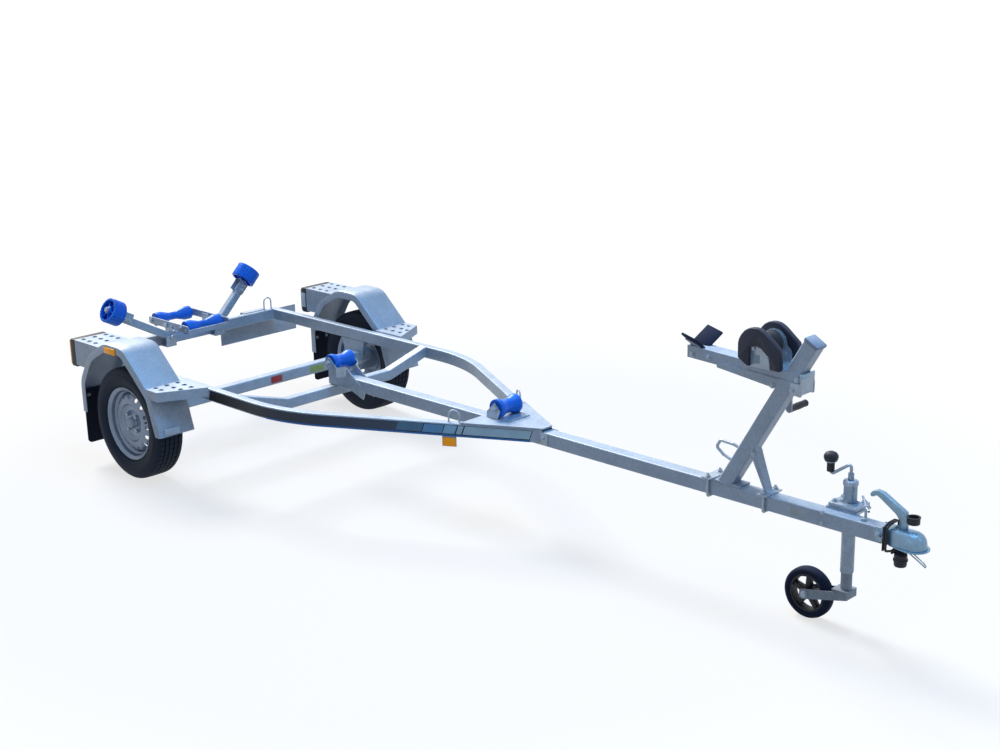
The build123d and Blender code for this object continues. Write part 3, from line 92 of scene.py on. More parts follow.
world = bpy.data.worlds.new("white_room")
scene.world = world
world.use_nodes = True
world.node_tree.nodes.clear()
new, link = world.node_tree.nodes.new, world.node_tree.links.new
room_out = new("ShaderNodeOutputWorld")
walls = new("ShaderNodeBackground")
walls.inputs["Color"].default_value = (1, 1, 1, 1)
sky = new("ShaderNodeBackground")
sky.inputs["Color"].default_value = (0.36, 0.58, 0.95, 1)
sky.inputs["Strength"].default_value = 0.2
room_mix = new("ShaderNodeMixShader")
link(seen_directly(world.node_tree), room_mix.inputs["Fac"])
link(sky.outputs[0], room_mix.inputs[1])
link(walls.outputs[0], room_mix.inputs[2])
link(room_mix.outputs[0], room_out.inputs["Surface"])


# ---- Lamps -------------------------------------------------------------------------------------
# A broad warm key lamp shines from behind and above, so the tops are bright and the sides grey.
# Three soft blue lamps overhead, in front and at the near side fill the faces turned from it.
KEY_FROM = Vector((-0.70, 0.16, 0.70))
bpy.ops.object.light_add(type="SUN", location=(-4, 1, 6))
key = bpy.context.object
key.name = "key_lamp"
key.data.energy = 4.3
key.data.angle = radians(24)
key.data.color = (1, 0.93, 0.84)
key.rotation_euler = KEY_FROM.to_track_quat("Z", "Y").to_euler()
LAMP_TARGET = Vector((0, 0, 0.5))
for name, place, size, watts, colour in [
    ("overhead_lamp", Vector((2.0, 0.3, 7)), 4, 300, (0.22, 0.55, 1)),
    ("front_lamp", Vector((7, 1.5, 4.5)), 3, 35, (0.4, 0.66, 1)),
    ("side_lamp", Vector((1, -8, 3)), 3, 24, (0.5, 0.76, 1)),
]:
    bpy.ops.object.light_add(type="AREA", location=place)
    lamp = bpy.context.object
    lamp.name = name
    lamp.data.size = size
    lamp.data.energy = watts
    lamp.data.color = colour
    lamp.rotation_euler = (LAMP_TARGET - place).to_track_quat("-Z", "Y").to_euler()


# ---- Floor -------------------------------------------------------------------------------------
# A matt grey floor that takes the shadows, with a white glow that only direct rays see. The glow
# is weaker near the trailer, where the shadows are to show, and full further out.
GLOW_NEAR, GLOW_FAR = 0.72, 1
FADE_START, FADE_END = 2, 7
bpy.ops.mesh.primitive_plane_add(size=60, location=(0, 0, -0.0005))
floor = bpy.context.object
floor.name = "floor"
floor_paint = bpy.data.materials.new("floor_paint")
floor_paint.use_nodes = True
floor_paint.node_tree.nodes.clear()
new, link = floor_paint.node_tree.nodes.new, floor_paint.node_tree.links.new
matt_grey = new("ShaderNodeBsdfDiffuse")
matt_grey.inputs["Color"].default_value = (0.2, 0.2, 0.2, 1)
glow = new("ShaderNodeEmission")
floor_place = new("ShaderNodeTexCoord")
from_middle = new("ShaderNodeVectorMath")
from_middle.operation = "LENGTH"
fade = new("ShaderNodeMapRange")
fade.inputs["From Min"].default_value = FADE_START
fade.inputs["From Max"].default_value = FADE_END
fade.inputs["To Min"].default_value = GLOW_NEAR
fade.inputs["To Max"].default_value = GLOW_FAR
glow_level = new("ShaderNodeMath")
glow_level.operation = "MULTIPLY"
floor_sum = new("ShaderNodeAddShader")
floor_out = new("ShaderNodeOutputMaterial")
link(floor_place.outputs["Object"], from_middle.inputs[0])
link(from_middle.outputs["Value"], fade.inputs["Value"])
link(fade.outputs[0], glow_level.inputs[0])
link(seen_directly(floor_paint.node_tree), glow_level.inputs[1])
link(glow_level.outputs[0], glow.inputs["Strength"])
link(matt_grey.outputs[0], floor_sum.inputs[0])
link(glow.outputs[0], floor_sum.inputs[1])
link(floor_sum.outputs[0], floor_out.inputs["Surface"])
floor.data.materials.append(floor_paint)


# ---- Side rails, drawbar, crossmembers and gusset plate ----------------------------------------
# Steel box section: two rails bent in to meet on the drawbar, with two crossmembers and a gusset
# plate, all welded and dipped in molten zinc. The coat shows crystals under soft grey clouds.
def finish(name, colour, metallic, roughness):
    """A new material and its shader, node maker and linker."""
    material = bpy.data.materials.new(name)
    material.use_nodes = True
    shader = material.node_tree.nodes["Principled BSDF"]
    shader.inputs["Base Color"].default_value = (*colour, 1)
    shader.inputs["Metallic"].default_value = metallic
    shader.inputs["Roughness"].default_value = roughness
    return material, shader, material.node_tree.nodes.new, material.node_tree.links.new


def mottled(name, dark, light, metallic, roughness, cell, cloud, bump):
    """Zinc coat: crystal cells of the given size under soft clouds, in colour and in gloss."""
    material, shader, new, link = finish(name, light, metallic, roughness)
    place = new("ShaderNodeTexCoord")
    crystals = new("ShaderNodeTexVoronoi")
    crystals.inputs["Scale"].default_value = 1 / cell
    clouds = new("ShaderNodeTexNoise")
    clouds.inputs["Scale"].default_value = 1 / cloud
    clouds.inputs["Detail"].default_value = 5
    clouds.inputs["Roughness"].default_value = 0.6
    link(place.outputs["Object"], crystals.inputs["Vector"])
    link(place.outputs["Object"], clouds.inputs["Vector"])
    grey = new("ShaderNodeRGBToBW")
    link(crystals.outputs["Color"], grey.inputs[0])
    blend = new("ShaderNodeMath")
    blend.operation = "MULTIPLY_ADD"
    blend.inputs[1].default_value = 0.35
    link(grey.outputs[0], blend.inputs[0])
    link(clouds.outputs["Fac"], blend.inputs[2])
    ramp = new("ShaderNodeValToRGB")
    ramp.color_ramp.elements[0].position = 0.42
    ramp.color_ramp.elements[0].color = (*dark, 1)
    ramp.color_ramp.elements[1].position = 0.86
    ramp.color_ramp.elements[1].color = (*light, 1)
    link(blend.outputs[0], ramp.inputs["Fac"])
    link(ramp.outputs["Color"], shader.inputs["Base Color"])
    gloss = new("ShaderNodeMapRange")
    gloss.inputs["To Min"].default_value = roughness - 0.09
    gloss.inputs["To Max"].default_value = roughness + 0.12
    link(blend.outputs[0], gloss.inputs["Value"])
    link(gloss.outputs[0], shader.inputs["Roughness"])
    relief = new("ShaderNodeBump")
    relief.inputs["Strength"].default_value = bump
    relief.inputs["Distance"].default_value = 0.001
    link(clouds.outputs["Fac"], relief.inputs["Height"])
    link(relief.outputs[0], shader.inputs["Normal"])
    return material


def dress(material, *names):
    """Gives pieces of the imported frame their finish."""
    for name in names:
        slots = frame["nodes"][name].data.materials
        slots.clear()
        slots.append(material)


galvanised = mottled(
    "galvanised", (0.34, 0.41, 0.50), (0.46, 0.54, 0.64), 0.12, 0.40, 0.009, 0.12, 0.1
)
dress(galvanised, "rails", "drawbar", "rear_crossmember", "front_crossmember", "gusset_plate")


# ---- Lashing eyes ------------------------------------------------------------------------------
# Bent round steel bar, welded on: two eyes on each rail for the straps, and a larger safety eye
# behind the winch post. Small steel pieces are zinc plated, with a finer grain than the frame.
zinc = mottled("zinc_plate", (0.34, 0.40, 0.47), (0.48, 0.56, 0.64), 0.3, 0.30, 0.004, 0.03, 0.06)
dress(zinc, "rod_eyes")


# ---- Axle --------------------------------------------------------------------------------------
# A rubber-sprung axle. Its square beam is bolted to two brackets under the rails, and a trailing
# arm at each end carries the wheel. All of it is dipped in zinc.
AXLE_X = -1.4965
dress(galvanised, "axle_beam", "axle_brackets", "axle_arms")


# ---- Tyres -------------------------------------------------------------------------------------
# Radial tyres of moulded rubber. Four rain grooves run round the tread and thin cuts cross its
# ribs, and the sidewall steps down over a rim guard to the bead.
def moulded(name, colour, roughness, grain, bump, metallic=0, shine=0.5):
    """Rubber, plastic or paint: one colour with fine grain and faint clouds."""
    material, shader, new, link = finish(name, colour, metallic, roughness)
    shader.inputs["Specular IOR Level"].default_value = shine
    place = new("ShaderNodeTexCoord")
    fine = new("ShaderNodeTexNoise")
    fine.inputs["Scale"].default_value = 1 / grain
    fine.inputs["Detail"].default_value = 3
    soft = new("ShaderNodeTexNoise")
    soft.inputs["Scale"].default_value = 9
    link(place.outputs["Object"], fine.inputs["Vector"])
    link(place.outputs["Object"], soft.inputs["Vector"])
    ramp = new("ShaderNodeValToRGB")
    ramp.color_ramp.elements[0].position = 0.3
    ramp.color_ramp.elements[0].color = (*[c * 0.82 for c in colour], 1)
    ramp.color_ramp.elements[1].position = 0.7
    ramp.color_ramp.elements[1].color = (*[min(1, c * 1.12) for c in colour], 1)
    link(soft.outputs["Fac"], ramp.inputs["Fac"])
    link(ramp.outputs["Color"], shader.inputs["Base Color"])
    relief = new("ShaderNodeBump")
    relief.inputs["Strength"].default_value = bump
    relief.inputs["Distance"].default_value = 0.0006
    link(fine.outputs["Fac"], relief.inputs["Height"])
    link(relief.outputs[0], shader.inputs["Normal"])
    return material


def mm(profile):
    """A profile listed in millimetres, in metres."""
    return [(radius / 1000, along / 1000) for radius, along in profile]


def close_skin():
    """Turns every face of the piece in hand outwards."""
    bpy.ops.object.mode_set(mode="EDIT")
    bpy.ops.mesh.select_all(action="SELECT")
    bpy.ops.mesh.normals_make_consistent(inside=False)
    bpy.ops.object.mode_set(mode="OBJECT")


def finished(piece, material, body, slot, *replaced):
    """Gives a piece its finish and body, and hides the pieces it replaces; slot is not used."""
    piece.data.materials.clear()
    piece.data.materials.append(material)
    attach(piece, body)
    if replaced:
        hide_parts(*replaced)
    bpy.ops.object.select_all(action="DESELECT")
    return piece


SIDES = (("right", -1), ("left", 1))
TYRE_RADIUS = 0.2735
WHEEL_Y = 0.723
PITCHES = 60              # tread blocks round the tyre
BLOCK_SHARE = 0.88        # of a pitch; the rest is the cut
CUT_DEPTH = 0.0035
CUT_REACH = 0.0665        # to each side of the middle
CROWN = 0.35              # how far the tread falls away to its shoulders
GROOVES = (-0.036, -0.0125, 0.0125, 0.036)
GROOVE = 0.0032           # half width of a rain groove
GROOVE_DEPTH = 0.0062
SIDEWALL = mm([
    (165, 55), (181, 58.5), (184, 63), (188, 67), (193, 70.5), (196, 71.8), (198, 71),
    (206, 74), (216, 76.6), (226, 77.5), (236, 76.8), (239, 75.8), (240.5, 74.4), (248, 73),
    (256, 70.5), (262, 67.5), (266.5, 64), (269.6, 60), (271.4, 55), (272.4, 49),
])
tread = []
for groove in GROOVES:
    crown = TYRE_RADIUS - CROWN * groove * groove
    tread += [
        (crown, groove - GROOVE), (crown - GROOVE_DEPTH, groove - GROOVE * 0.5),
        (crown - GROOVE_DEPTH, groove + GROOVE * 0.5), (crown, groove + GROOVE),
    ]
tyre_profile = [(radius, -along) for radius, along in SIDEWALL] + tread + SIDEWALL[::-1]
tyre_rubber = moulded("tyre_rubber", (0.012, 0.021, 0.040), 0.7, 0.002, 0.3, shine=0.22)
pitch = 2 * pi / PITCHES
for side, sign in SIDES:
    centre = Vector((AXLE_X, sign * WHEEL_Y, TYRE_RADIUS))
    bpy.ops.mesh.primitive_circle_add(vertices=len(tyre_profile))
    tyre = bpy.context.object
    tyre.name = f"road_tyre_{side}"
    for vertex, (radius, along) in zip(tyre.data.vertices, tyre_profile):
        vertex.co = centre + Vector((0, sign * along, radius))
    # one pitch is spun first: a block in two steps, then its cut
    bpy.ops.object.mode_set(mode="EDIT")
    bpy.ops.mesh.select_all(action="SELECT")
    bpy.ops.mesh.spin(steps=2, angle=pitch * BLOCK_SHARE, center=centre, axis=(0, 1, 0))
    bpy.ops.mesh.spin(steps=1, angle=pitch * (1 - BLOCK_SHARE), center=centre, axis=(0, 1, 0))
    bpy.ops.mesh.select_all(action="DESELECT")
    bpy.ops.mesh.select_mode(type="FACE")
    bpy.ops.object.mode_set(mode="OBJECT")
    for face in tyre.data.polygons:
        middle = face.center - centre
        in_cut = abs(atan2(middle.x, middle.z)) % pitch > pitch * BLOCK_SHARE
        on_rib = middle.xz.length > TYRE_RADIUS - 0.005 and abs(middle.y) < CUT_REACH
        face.select = in_cut and on_rib
    bpy.ops.object.mode_set(mode="EDIT")
    bpy.ops.mesh.extrude_region_move(TRANSFORM_OT_translate={"value": (0, 0, -CUT_DEPTH)})
    bpy.ops.mesh.select_mode(type="VERT")
    bpy.ops.mesh.select_all(action="SELECT")
    bpy.ops.mesh.spin(
        steps=PITCHES - 1, dupli=True, angle=2 * pi - pitch, center=centre, axis=(0, 1, 0)
    )
    bpy.ops.mesh.select_all(action="SELECT")
    bpy.ops.mesh.remove_doubles(threshold=0.00005)
    bpy.ops.object.mode_set(mode="OBJECT")
    close_skin()
    bpy.ops.object.shade_smooth_by_angle(angle=radians(32))
    finished(tyre, tyre_rubber, f"wheel_{side}", "tyre", f"tyre_{side}")


# ---- Rims --------------------------------------------------------------------------------------
# Pressed steel rims painted silver: a deep well with a dished centre, pierced by sixteen round
# vents, and a raised seat in the middle where the bolts pull it on to the hub.
def turned(name, profile, centre, axis, steps=72):
    """A piece turned on a lathe: a closed profile of (radius, place along the axis), spun."""
    axis = Vector(axis).normalized()
    radial = Vector((0, 0, 1)) if abs(axis.z) < 0.9 else Vector((1, 0, 0))
    radial = (radial - axis * radial.dot(axis)).normalized()
    bpy.ops.mesh.primitive_circle_add(vertices=len(profile))
    piece = bpy.context.object
    piece.name = name
    for vertex, (radius, along) in zip(piece.data.vertices, profile):
        vertex.co = Vector(centre) + radial * radius + axis * along
    bpy.ops.object.mode_set(mode="EDIT")
    bpy.ops.mesh.select_all(action="SELECT")
    bpy.ops.mesh.spin(steps=steps, angle=2 * pi, center=centre, axis=axis)
    bpy.ops.mesh.select_all(action="SELECT")
    bpy.ops.mesh.remove_doubles(threshold=0.00003)
    bpy.ops.mesh.dissolve_degenerate()
    bpy.ops.object.mode_set(mode="OBJECT")
    close_skin()
    bpy.ops.object.shade_smooth_by_angle(angle=radians(40))
    return piece


def joined(name, parts):
    """Joins parts into one piece under one name."""
    bpy.ops.object.select_all(action="DESELECT")
    for part in parts:
        part.select_set(True)
    bpy.context.view_layer.objects.active = parts[0]
    bpy.ops.object.join()
    parts[0].name = name
    return parts[0]


def cut(piece, cutter):
    """Takes a cutter's shape out of a piece, and the cutter away."""
    bpy.ops.object.select_all(action="DESELECT")
    bpy.context.view_layer.objects.active = piece
    piece.select_set(True)
    opening = piece.modifiers.new("opening", "BOOLEAN")
    opening.object = cutter
    opening.solver = "EXACT"
    bpy.ops.object.modifier_apply(modifier=opening.name)
    bpy.data.objects.remove(cutter)


RIM_PROFILE = mm([
    (178, 60), (178.4, 62.4), (177, 63.5), (174.5, 62.8), (171, 59.5), (167, 56.5), (162.5, 54.5),
    (160.6, 51), (160.5, 38), (158, 32), (150, 27), (145.5, 23), (144.5, 18), (144.5, 13),
    (142.5, 20), (139.5, 29), (135, 36.5), (129, 41.5), (120, 45), (110, 48), (103, 50.2),
    (98, 50.6), (94.5, 48.8), (91, 44), (87, 37.5), (82, 33), (75, 31.6), (69, 34), (64, 34),
    (60, 31.6), (30.5, 31.6), (30.5, 28), (75, 28), (84, 29.5), (90, 35), (95, 43), (99, 46.6),
    (110, 44.4), (120, 41.4), (127, 38), (131.5, 33.5), (135.5, 26.5), (138.5, 17), (141, 6),
    (141, -22), (145, -25), (160.5, -33), (160.5, -57), (172, -61), (178, -63.5), (178, -60),
    (165, -54), (164, -50), (164, -36), (149, -26), (148, -18), (148, 16), (150, 22), (164, 31),
    (164, 52), (168, 57),
])
VENTS = 16
VENT_CIRCLE = 0.129
VENT_RADIUS = 0.0112
DISC_OUT = 0.0316         # the bolted seat's face, outboard of the wheel's middle
rim_silver = moulded("rim_silver", (0.30, 0.37, 0.48), 0.36, 0.001, 0.06, 0.3, shine=0.4)
for side, sign in SIDES:
    centre = Vector((AXLE_X, sign * WHEEL_Y, TYRE_RADIUS))
    outboard = Vector((0, sign, 0))
    rim = turned(f"steel_rim_{side}", RIM_PROFILE, centre, outboard, 96)
    vents = []
    for vent in range(VENTS):
        angle = 2 * pi * vent / VENTS
        spot = centre + Vector((cos(angle), 0, sin(angle))) * VENT_CIRCLE + outboard * 0.03
        bpy.ops.mesh.primitive_cylinder_add(
            vertices=20, radius=VENT_RADIUS, depth=0.07, location=spot, rotation=(pi / 2, 0, 0)
        )
        vents.append(bpy.context.object)
    cut(rim, joined("vents", vents))
    bpy.ops.object.shade_smooth_by_angle(angle=radians(40))
    finished(rim, rim_silver, f"wheel_{side}", "silver_paint", f"rim_{side}")


# ---- Hubs and wheel bolts ----------------------------------------------------------------------
# Galvanised hubs with a round flange and a domed grease cap on the bearing. Four hexagon bolts
# in a circle hold each wheel to its hub.
def copied(name, model, places):
    """One piece made of a copy of an upright model at each (place, axis)."""
    made = []
    for place, axis in places:
        copy = model.copy()
        copy.data = model.data.copy()
        bpy.context.collection.objects.link(copy)
        turn = Vector(axis).to_track_quat("Z", "Y").to_matrix().to_4x4()
        copy.data.transform(Matrix.Translation(place) @ turn)
        made.append(copy)
    bpy.data.objects.remove(model)
    piece = joined(name, made)
    bpy.ops.object.shade_smooth_by_angle(angle=radians(30))
    return piece


def hexagon(across, height, tip=0):
    """A hexagon head or nut on its washer, at the origin; tip is the thread past a nut."""
    parts = []
    for vertices, radius, low, high in [
        (6, across / 3 ** 0.5, 0.0016, height), (24, across * 0.68, 0, 0.0016),
        (16, across * 0.3, height, height + tip),
    ]:
        if high <= low:
            continue
        bpy.ops.mesh.primitive_cylinder_add(vertices=vertices, radius=radius, depth=high - low)
        part = bpy.context.object
        part.data.transform(Matrix.Translation((0, 0, (low + high) / 2)))
        bpy.ops.object.mode_set(mode="EDIT")
        bpy.ops.mesh.select_all(action="SELECT")
        bpy.ops.mesh.bevel(offset=min(0.0007, (high - low) / 4), segments=2)
        bpy.ops.object.mode_set(mode="OBJECT")
        parts.append(part)
    return joined("hexagon", parts)


def fixings(name, body, across, height, tip, places):
    """Like hexagon heads or nuts on one body, zinc plated."""
    return finished(copied(name, hexagon(across, height, tip), places), zinc, body, "zinc")


HUB_PROFILE = mm([
    (17.4, -79), (44, -79), (48, -72), (50, 18), (66, 18), (66, 27.5), (29.8, 27.5), (29.8, 33),
    (27, 36), (26.5, 44), (25, 52), (20, 58), (12, 61), (0, 62), (0, 42), (17.4, 42),
])
WHEEL_BOLTS = 4
BOLT_CIRCLE = 0.05
for side, sign in SIDES:
    centre = Vector((AXLE_X, sign * WHEEL_Y, TYRE_RADIUS))
    outboard = Vector((0, sign, 0))
    hub = turned(f"wheel_hub_{side}", HUB_PROFILE, centre, outboard, 48)
    finished(hub, galvanised, f"wheel_{side}", "galvanised", f"hub_{side}")
    bolts = []
    for bolt in range(WHEEL_BOLTS):
        angle = pi / 4 + 2 * pi * bolt / WHEEL_BOLTS
        radial = Vector((cos(angle), 0, sin(angle)))
        bolts.append((centre + radial * BOLT_CIRCLE + outboard * DISC_OUT, outboard))
    fixings(f"wheel_bolts_{side}", f"wheel_{side}", 0.019, 0.015, 0, bolts)


# ---- Tyre valves -------------------------------------------------------------------------------
# Black rubber stems snapped through the rim, each with a plastic cap on its end.
VALVE_PROFILE = mm([(0, 0), (6.5, 0), (5.5, 4), (4, 8), (3.6, 26), (0, 26)])
VALVE_AHEAD, VALVE_UP, VALVE_OUT = 0.1365, 0.030, 0.030     # from the wheel's middle
black_plastic = moulded("black_plastic", (0.014, 0.017, 0.026), 0.5, 0.0015, 0.25, shine=0.3)
for side, sign in SIDES:
    foot = Vector((AXLE_X + VALVE_AHEAD, sign * (WHEEL_Y + VALVE_OUT), TYRE_RADIUS + VALVE_UP))
    valve = turned(f"valve_{side}", VALVE_PROFILE, foot, (0, sign, 0), 16)
    finished(valve, black_plastic, f"wheel_{side}", "black_rubber")


# ---- Mudguards ---------------------------------------------------------------------------------
# A sheet steel arch over each wheel, folded in flat runs with rounded bends and turned down in a
# lip along both edges. It is welded between the two steps and dipped in zinc.
def rounded(corners, bends, steps=6):
    """Points along a line of corners, rounded to a bend radius each, or to one for all."""
    corners = [Vector(corner) for corner in corners]
    if not isinstance(bends, (list, tuple)):
        bends = [bends] * (len(corners) - 2)
    points = [corners[0]]
    for before, corner, after, bend in zip(corners, corners[1:], corners[2:], bends):
        arriving = (corner - before).normalized()
        leaving = (after - corner).normalized()
        turn = arriving.angle(leaving)
        if turn < 0.01:
            points.append(corner)
            continue
        start = corner - arriving * bend * tan(turn / 2)
        inward = (leaving - arriving * arriving.dot(leaving)).normalized()
        for step in range(steps + 1):
            swept = turn * step / steps
            points.append(start + arriving * bend * sin(swept) + inward * bend * (1 - cos(swept)))
    points.append(corners[-1])
    return points


GUARD_INNER = 0.622
GUARD_OUTER = 0.812
GUARD_LIP = 0.036
GUARD_BOTTOM = 0.272
GUARD_FRONT = 0.312       # ahead of the axle
GUARD_SHEET = 0.003
GUARD_LINE = [            # (ahead of the axle, height, bend radius) along the outer surface
    (-0.354, GUARD_BOTTOM, 0), (-0.354, 0.430, 0.130), (-0.262, 0.575, 0.180),
    (-0.112, 0.655, 0.150), (0.042, 0.655, 0.100), (0.252, 0.466, 0.100),
    (GUARD_FRONT, GUARD_BOTTOM, 0),
]
GUARD_SECTION = [         # (depth under the outer surface, distance out from the middle)
    (GUARD_LIP, GUARD_INNER), (0.005, GUARD_INNER), (0.0015, GUARD_INNER + 0.0015),
    (0, GUARD_INNER + 0.005), (0, 0.68), (0, 0.75), (0, GUARD_OUTER - 0.005),
    (0.0015, GUARD_OUTER - 0.0015), (0.005, GUARD_OUTER), (GUARD_LIP, GUARD_OUTER),
]
guard_points = rounded(
    [corner[:2] for corner in GUARD_LINE], [corner[2] for corner in GUARD_LINE[1:-1]], 8
)
rows, columns = len(guard_points), len(GUARD_SECTION)
for side, sign in SIDES:
    bpy.ops.mesh.primitive_grid_add(x_subdivisions=columns - 1, y_subdivisions=rows - 1)
    guard = bpy.context.object
    guard.name = f"mudguard_{side}"
    for row, point in enumerate(guard_points):
        run = guard_points[min(row + 1, rows - 1)] - guard_points[max(row - 1, 0)]
        inward = Vector((run.y, -run.x)).normalized()
        if row in (0, rows - 1):
            inward = Vector((1 if row == 0 else -1, 0))
        for column, (depth, out) in enumerate(GUARD_SECTION):
            spot = point + inward * depth
            vertex = guard.data.vertices[row * columns + column]
            vertex.co = (AXLE_X + spot.x, sign * out, spot.y)
    wall = guard.modifiers.new("wall", "SOLIDIFY")
    wall.thickness = GUARD_SHEET
    wall.offset = -sign
    bpy.ops.object.modifier_apply(modifier=wall.name)
    close_skin()
    bpy.ops.object.shade_smooth_by_angle(angle=radians(30))
    finished(guard, galvanised, "chassis", "galvanised", "mudguards")


# ---- Steps -------------------------------------------------------------------------------------
# Folded steel plates welded between rail and mudguard, ahead of and behind each wheel, to stand
# on. Their holes are punched upwards, so each has a raised round collar that grips a shoe.
def station(distance, y, z):
    """A point given by its distance ahead of the axle."""
    return Vector((AXLE_X + distance, y, z))


STEP_HOLES = [            # (ahead of the axle, distance out from the middle, height)
    *[(x, y, 0.495) for x, y in (
        (0.245, 0.650), (0.300, 0.650), (0.355, 0.650), (0.245, 0.710), (0.300, 0.710),
        (0.350, 0.705), (0.245, 0.770), (0.290, 0.770),
    )],
    *[(x, y, 0.629) for x in (-0.350, -0.295, -0.240) for y in (0.655, 0.717, 0.779)],
]
COLLAR = mm([(10.6, -1), (15, 0), (14, 1.2), (12.8, 1.9), (11.4, 1.9), (10.6, 1.2)])
HOLE_CUP = mm([
    (0.5, -9), (8, -9), (8, 0.3), (10.8, 0.3), (10.8, -0.1), (8.5, -0.1), (8.5, -9.6), (0.5, -9.6),
])
UP = Vector((0, 0, 1))
dress(galvanised, "front_steps", "rear_steps")
holes = [(station(x, sign * y, z), UP) for x, y, z in STEP_HOLES for sign in (-1, 1)]
collars = copied("step_hole_collars", turned("collar", COLLAR, (0, 0, 0), UP, 32), holes)
finished(collars, galvanised, "chassis", "galvanised")
# Painted shade: a black cup in each hole and a black ring round its rim stand in for its shadow.
hole_shade_paint = moulded("hole_shadow", (0.012, 0.014, 0.018), 0.9, 0.003, 0.1, shine=0)
cups = copied("step_hole_shade_cups", turned("cup", HOLE_CUP, (0, 0, 0), UP, 24), holes)
finished(cups, hole_shade_paint, "chassis", "galvanised")


# ---- Side and front reflectors -----------------------------------------------------------------
# Moulded lenses stuck on the mudguards: an amber one in a thin black carrier on each outer lip,
# and a white one low on each front run.
def break_edges(piece, width, sharpest):
    """Rounds the edges of a piece that turn by more than an angle."""
    edges = piece.modifiers.new("edges", "BEVEL")
    edges.width = width
    edges.segments = 2
    edges.limit_method = "ANGLE"
    edges.angle_limit = radians(sharpest)
    bpy.ops.object.modifier_apply(modifier=edges.name)


def plate(name, corners, thick, edge=0.0006):
    """A flat plate cut to an outline of corners, thickened by a vector, its edges broken."""
    bpy.ops.mesh.primitive_circle_add(vertices=len(corners), fill_type="NGON")
    piece = bpy.context.object
    piece.name = name
    for vertex, corner in zip(piece.data.vertices, corners):
        vertex.co = corner
    bpy.ops.object.mode_set(mode="EDIT")
    bpy.ops.mesh.select_all(action="SELECT")
    bpy.ops.mesh.extrude_region_move(TRANSFORM_OT_translate={"value": thick})
    bpy.ops.object.mode_set(mode="OBJECT")
    close_skin()
    break_edges(piece, edge, 40)
    bpy.ops.object.shade_smooth_by_angle(angle=radians(35))
    return piece


def oblong(corner, along, up):
    """The four corners of an oblong, from one of them and its two sides."""
    return [corner, corner + along, corner + along + up, corner + up]


AHEAD = Vector((1, 0, 0))
CARRIER = 0.003           # thickness of a reflector's carrier
LENS = 0.005              # thickness of its lens
amber = moulded("amber_reflector", (0.95, 0.36, 0.012), 0.3, 0.003, 0.3, shine=0.2)
# Painted glow: the amber lenses shine faintly by themselves, standing in for light sent back.
amber_glow_shader = amber.node_tree.nodes["Principled BSDF"]
amber_glow_shader.inputs["Emission Color"].default_value = (0.95, 0.34, 0.01, 1)
amber_glow_shader.inputs["Emission Strength"].default_value = 0.3
white_lens = moulded("white_reflector", (0.72, 0.76, 0.80), 0.12, 0.003, 0.3)
for side, sign in SIDES:
    out = Vector((0, sign, 0))
    lip = station(0, sign * GUARD_OUTER, 0)
    carrier = plate(
        f"side_marker_carrier_{side}",
        oblong(lip + Vector((-0.104, 0, 0.612)), AHEAD * 0.100, UP * 0.036), out * CARRIER, 0.001,
    )
    finished(carrier, black_plastic, "chassis", "black_plastic")
    lens = plate(
        f"side_marker_{side}",
        oblong(lip + out * CARRIER + Vector((-0.100, 0, 0.615)), AHEAD * 0.092, UP * 0.030),
        out * LENS, 0.0015,
    )
    finished(lens, amber, "chassis", "amber_reflector", "side_reflectors")
    front = plate(
        f"front_reflector_{side}",
        oblong(station(GUARD_FRONT, sign * 0.705, 0.279), out * 0.083, UP * 0.032),
        AHEAD * LENS, 0.0015,
    )
    finished(front, white_lens, "chassis", "lamp_plastic")


# ---- Hung reflectors ---------------------------------------------------------------------------
# A small galvanised plate hangs under the sloping run of each rail, with an amber lens stuck on
# its outer face.
RAIL_SLOPE = radians(28.2)
HUNG_AHEAD, HUNG_HEIGHT = 1.633, 0.429
HANGER_HALF, HUNG_LENS_HALF = 0.032, 0.029
RAILS_MEET = 0.940 + 0.580 / tan(RAIL_SLOPE)
for side, sign in SIDES:
    run = Vector((cos(RAIL_SLOPE), -sign * sin(RAIL_SLOPE), 0))
    out = Vector((sin(RAIL_SLOPE), sign * cos(RAIL_SLOPE), 0))
    rail_y = sign * (RAILS_MEET - HUNG_AHEAD) * tan(RAIL_SLOPE)
    root = station(HUNG_AHEAD, rail_y, HUNG_HEIGHT) + out * 0.012
    hanger = plate(
        f"hung_marker_plate_{side}",
        oblong(root - run * HANGER_HALF, run * HANGER_HALF * 2, UP * -0.046), out * CARRIER,
    )
    finished(hanger, galvanised, "chassis", "galvanised")
    corner = root + out * CARRIER - UP * 0.007 - run * HUNG_LENS_HALF
    lens = plate(
        f"hung_marker_{side}", oblong(corner, run * HUNG_LENS_HALF * 2, UP * -0.036),
        out * LENS, 0.0015,
    )
    finished(lens, amber, "chassis", "amber_reflector")


# ---- Tail lamps --------------------------------------------------------------------------------
# Black moulded housings on the ends of the rear steps. Amber, red and white lenses stand side by
# side across the back, and a clear window on the inner end lights the number plate.
def block(name, low, high, edge, segments):
    """A moulded block between two corners, its edges rounded."""
    bpy.ops.mesh.primitive_cube_add(size=1)
    piece = bpy.context.object
    piece.name = name
    for vertex in piece.data.vertices:
        vertex.co = Vector(b if at > 0 else a for at, a, b in zip(vertex.co, low, high))
    bpy.ops.object.mode_set(mode="EDIT")
    bpy.ops.mesh.select_all(action="SELECT")
    bpy.ops.mesh.bevel(offset=edge, segments=segments)
    bpy.ops.object.mode_set(mode="OBJECT")
    close_skin()
    bpy.ops.object.shade_smooth_by_angle(angle=radians(40))
    return piece


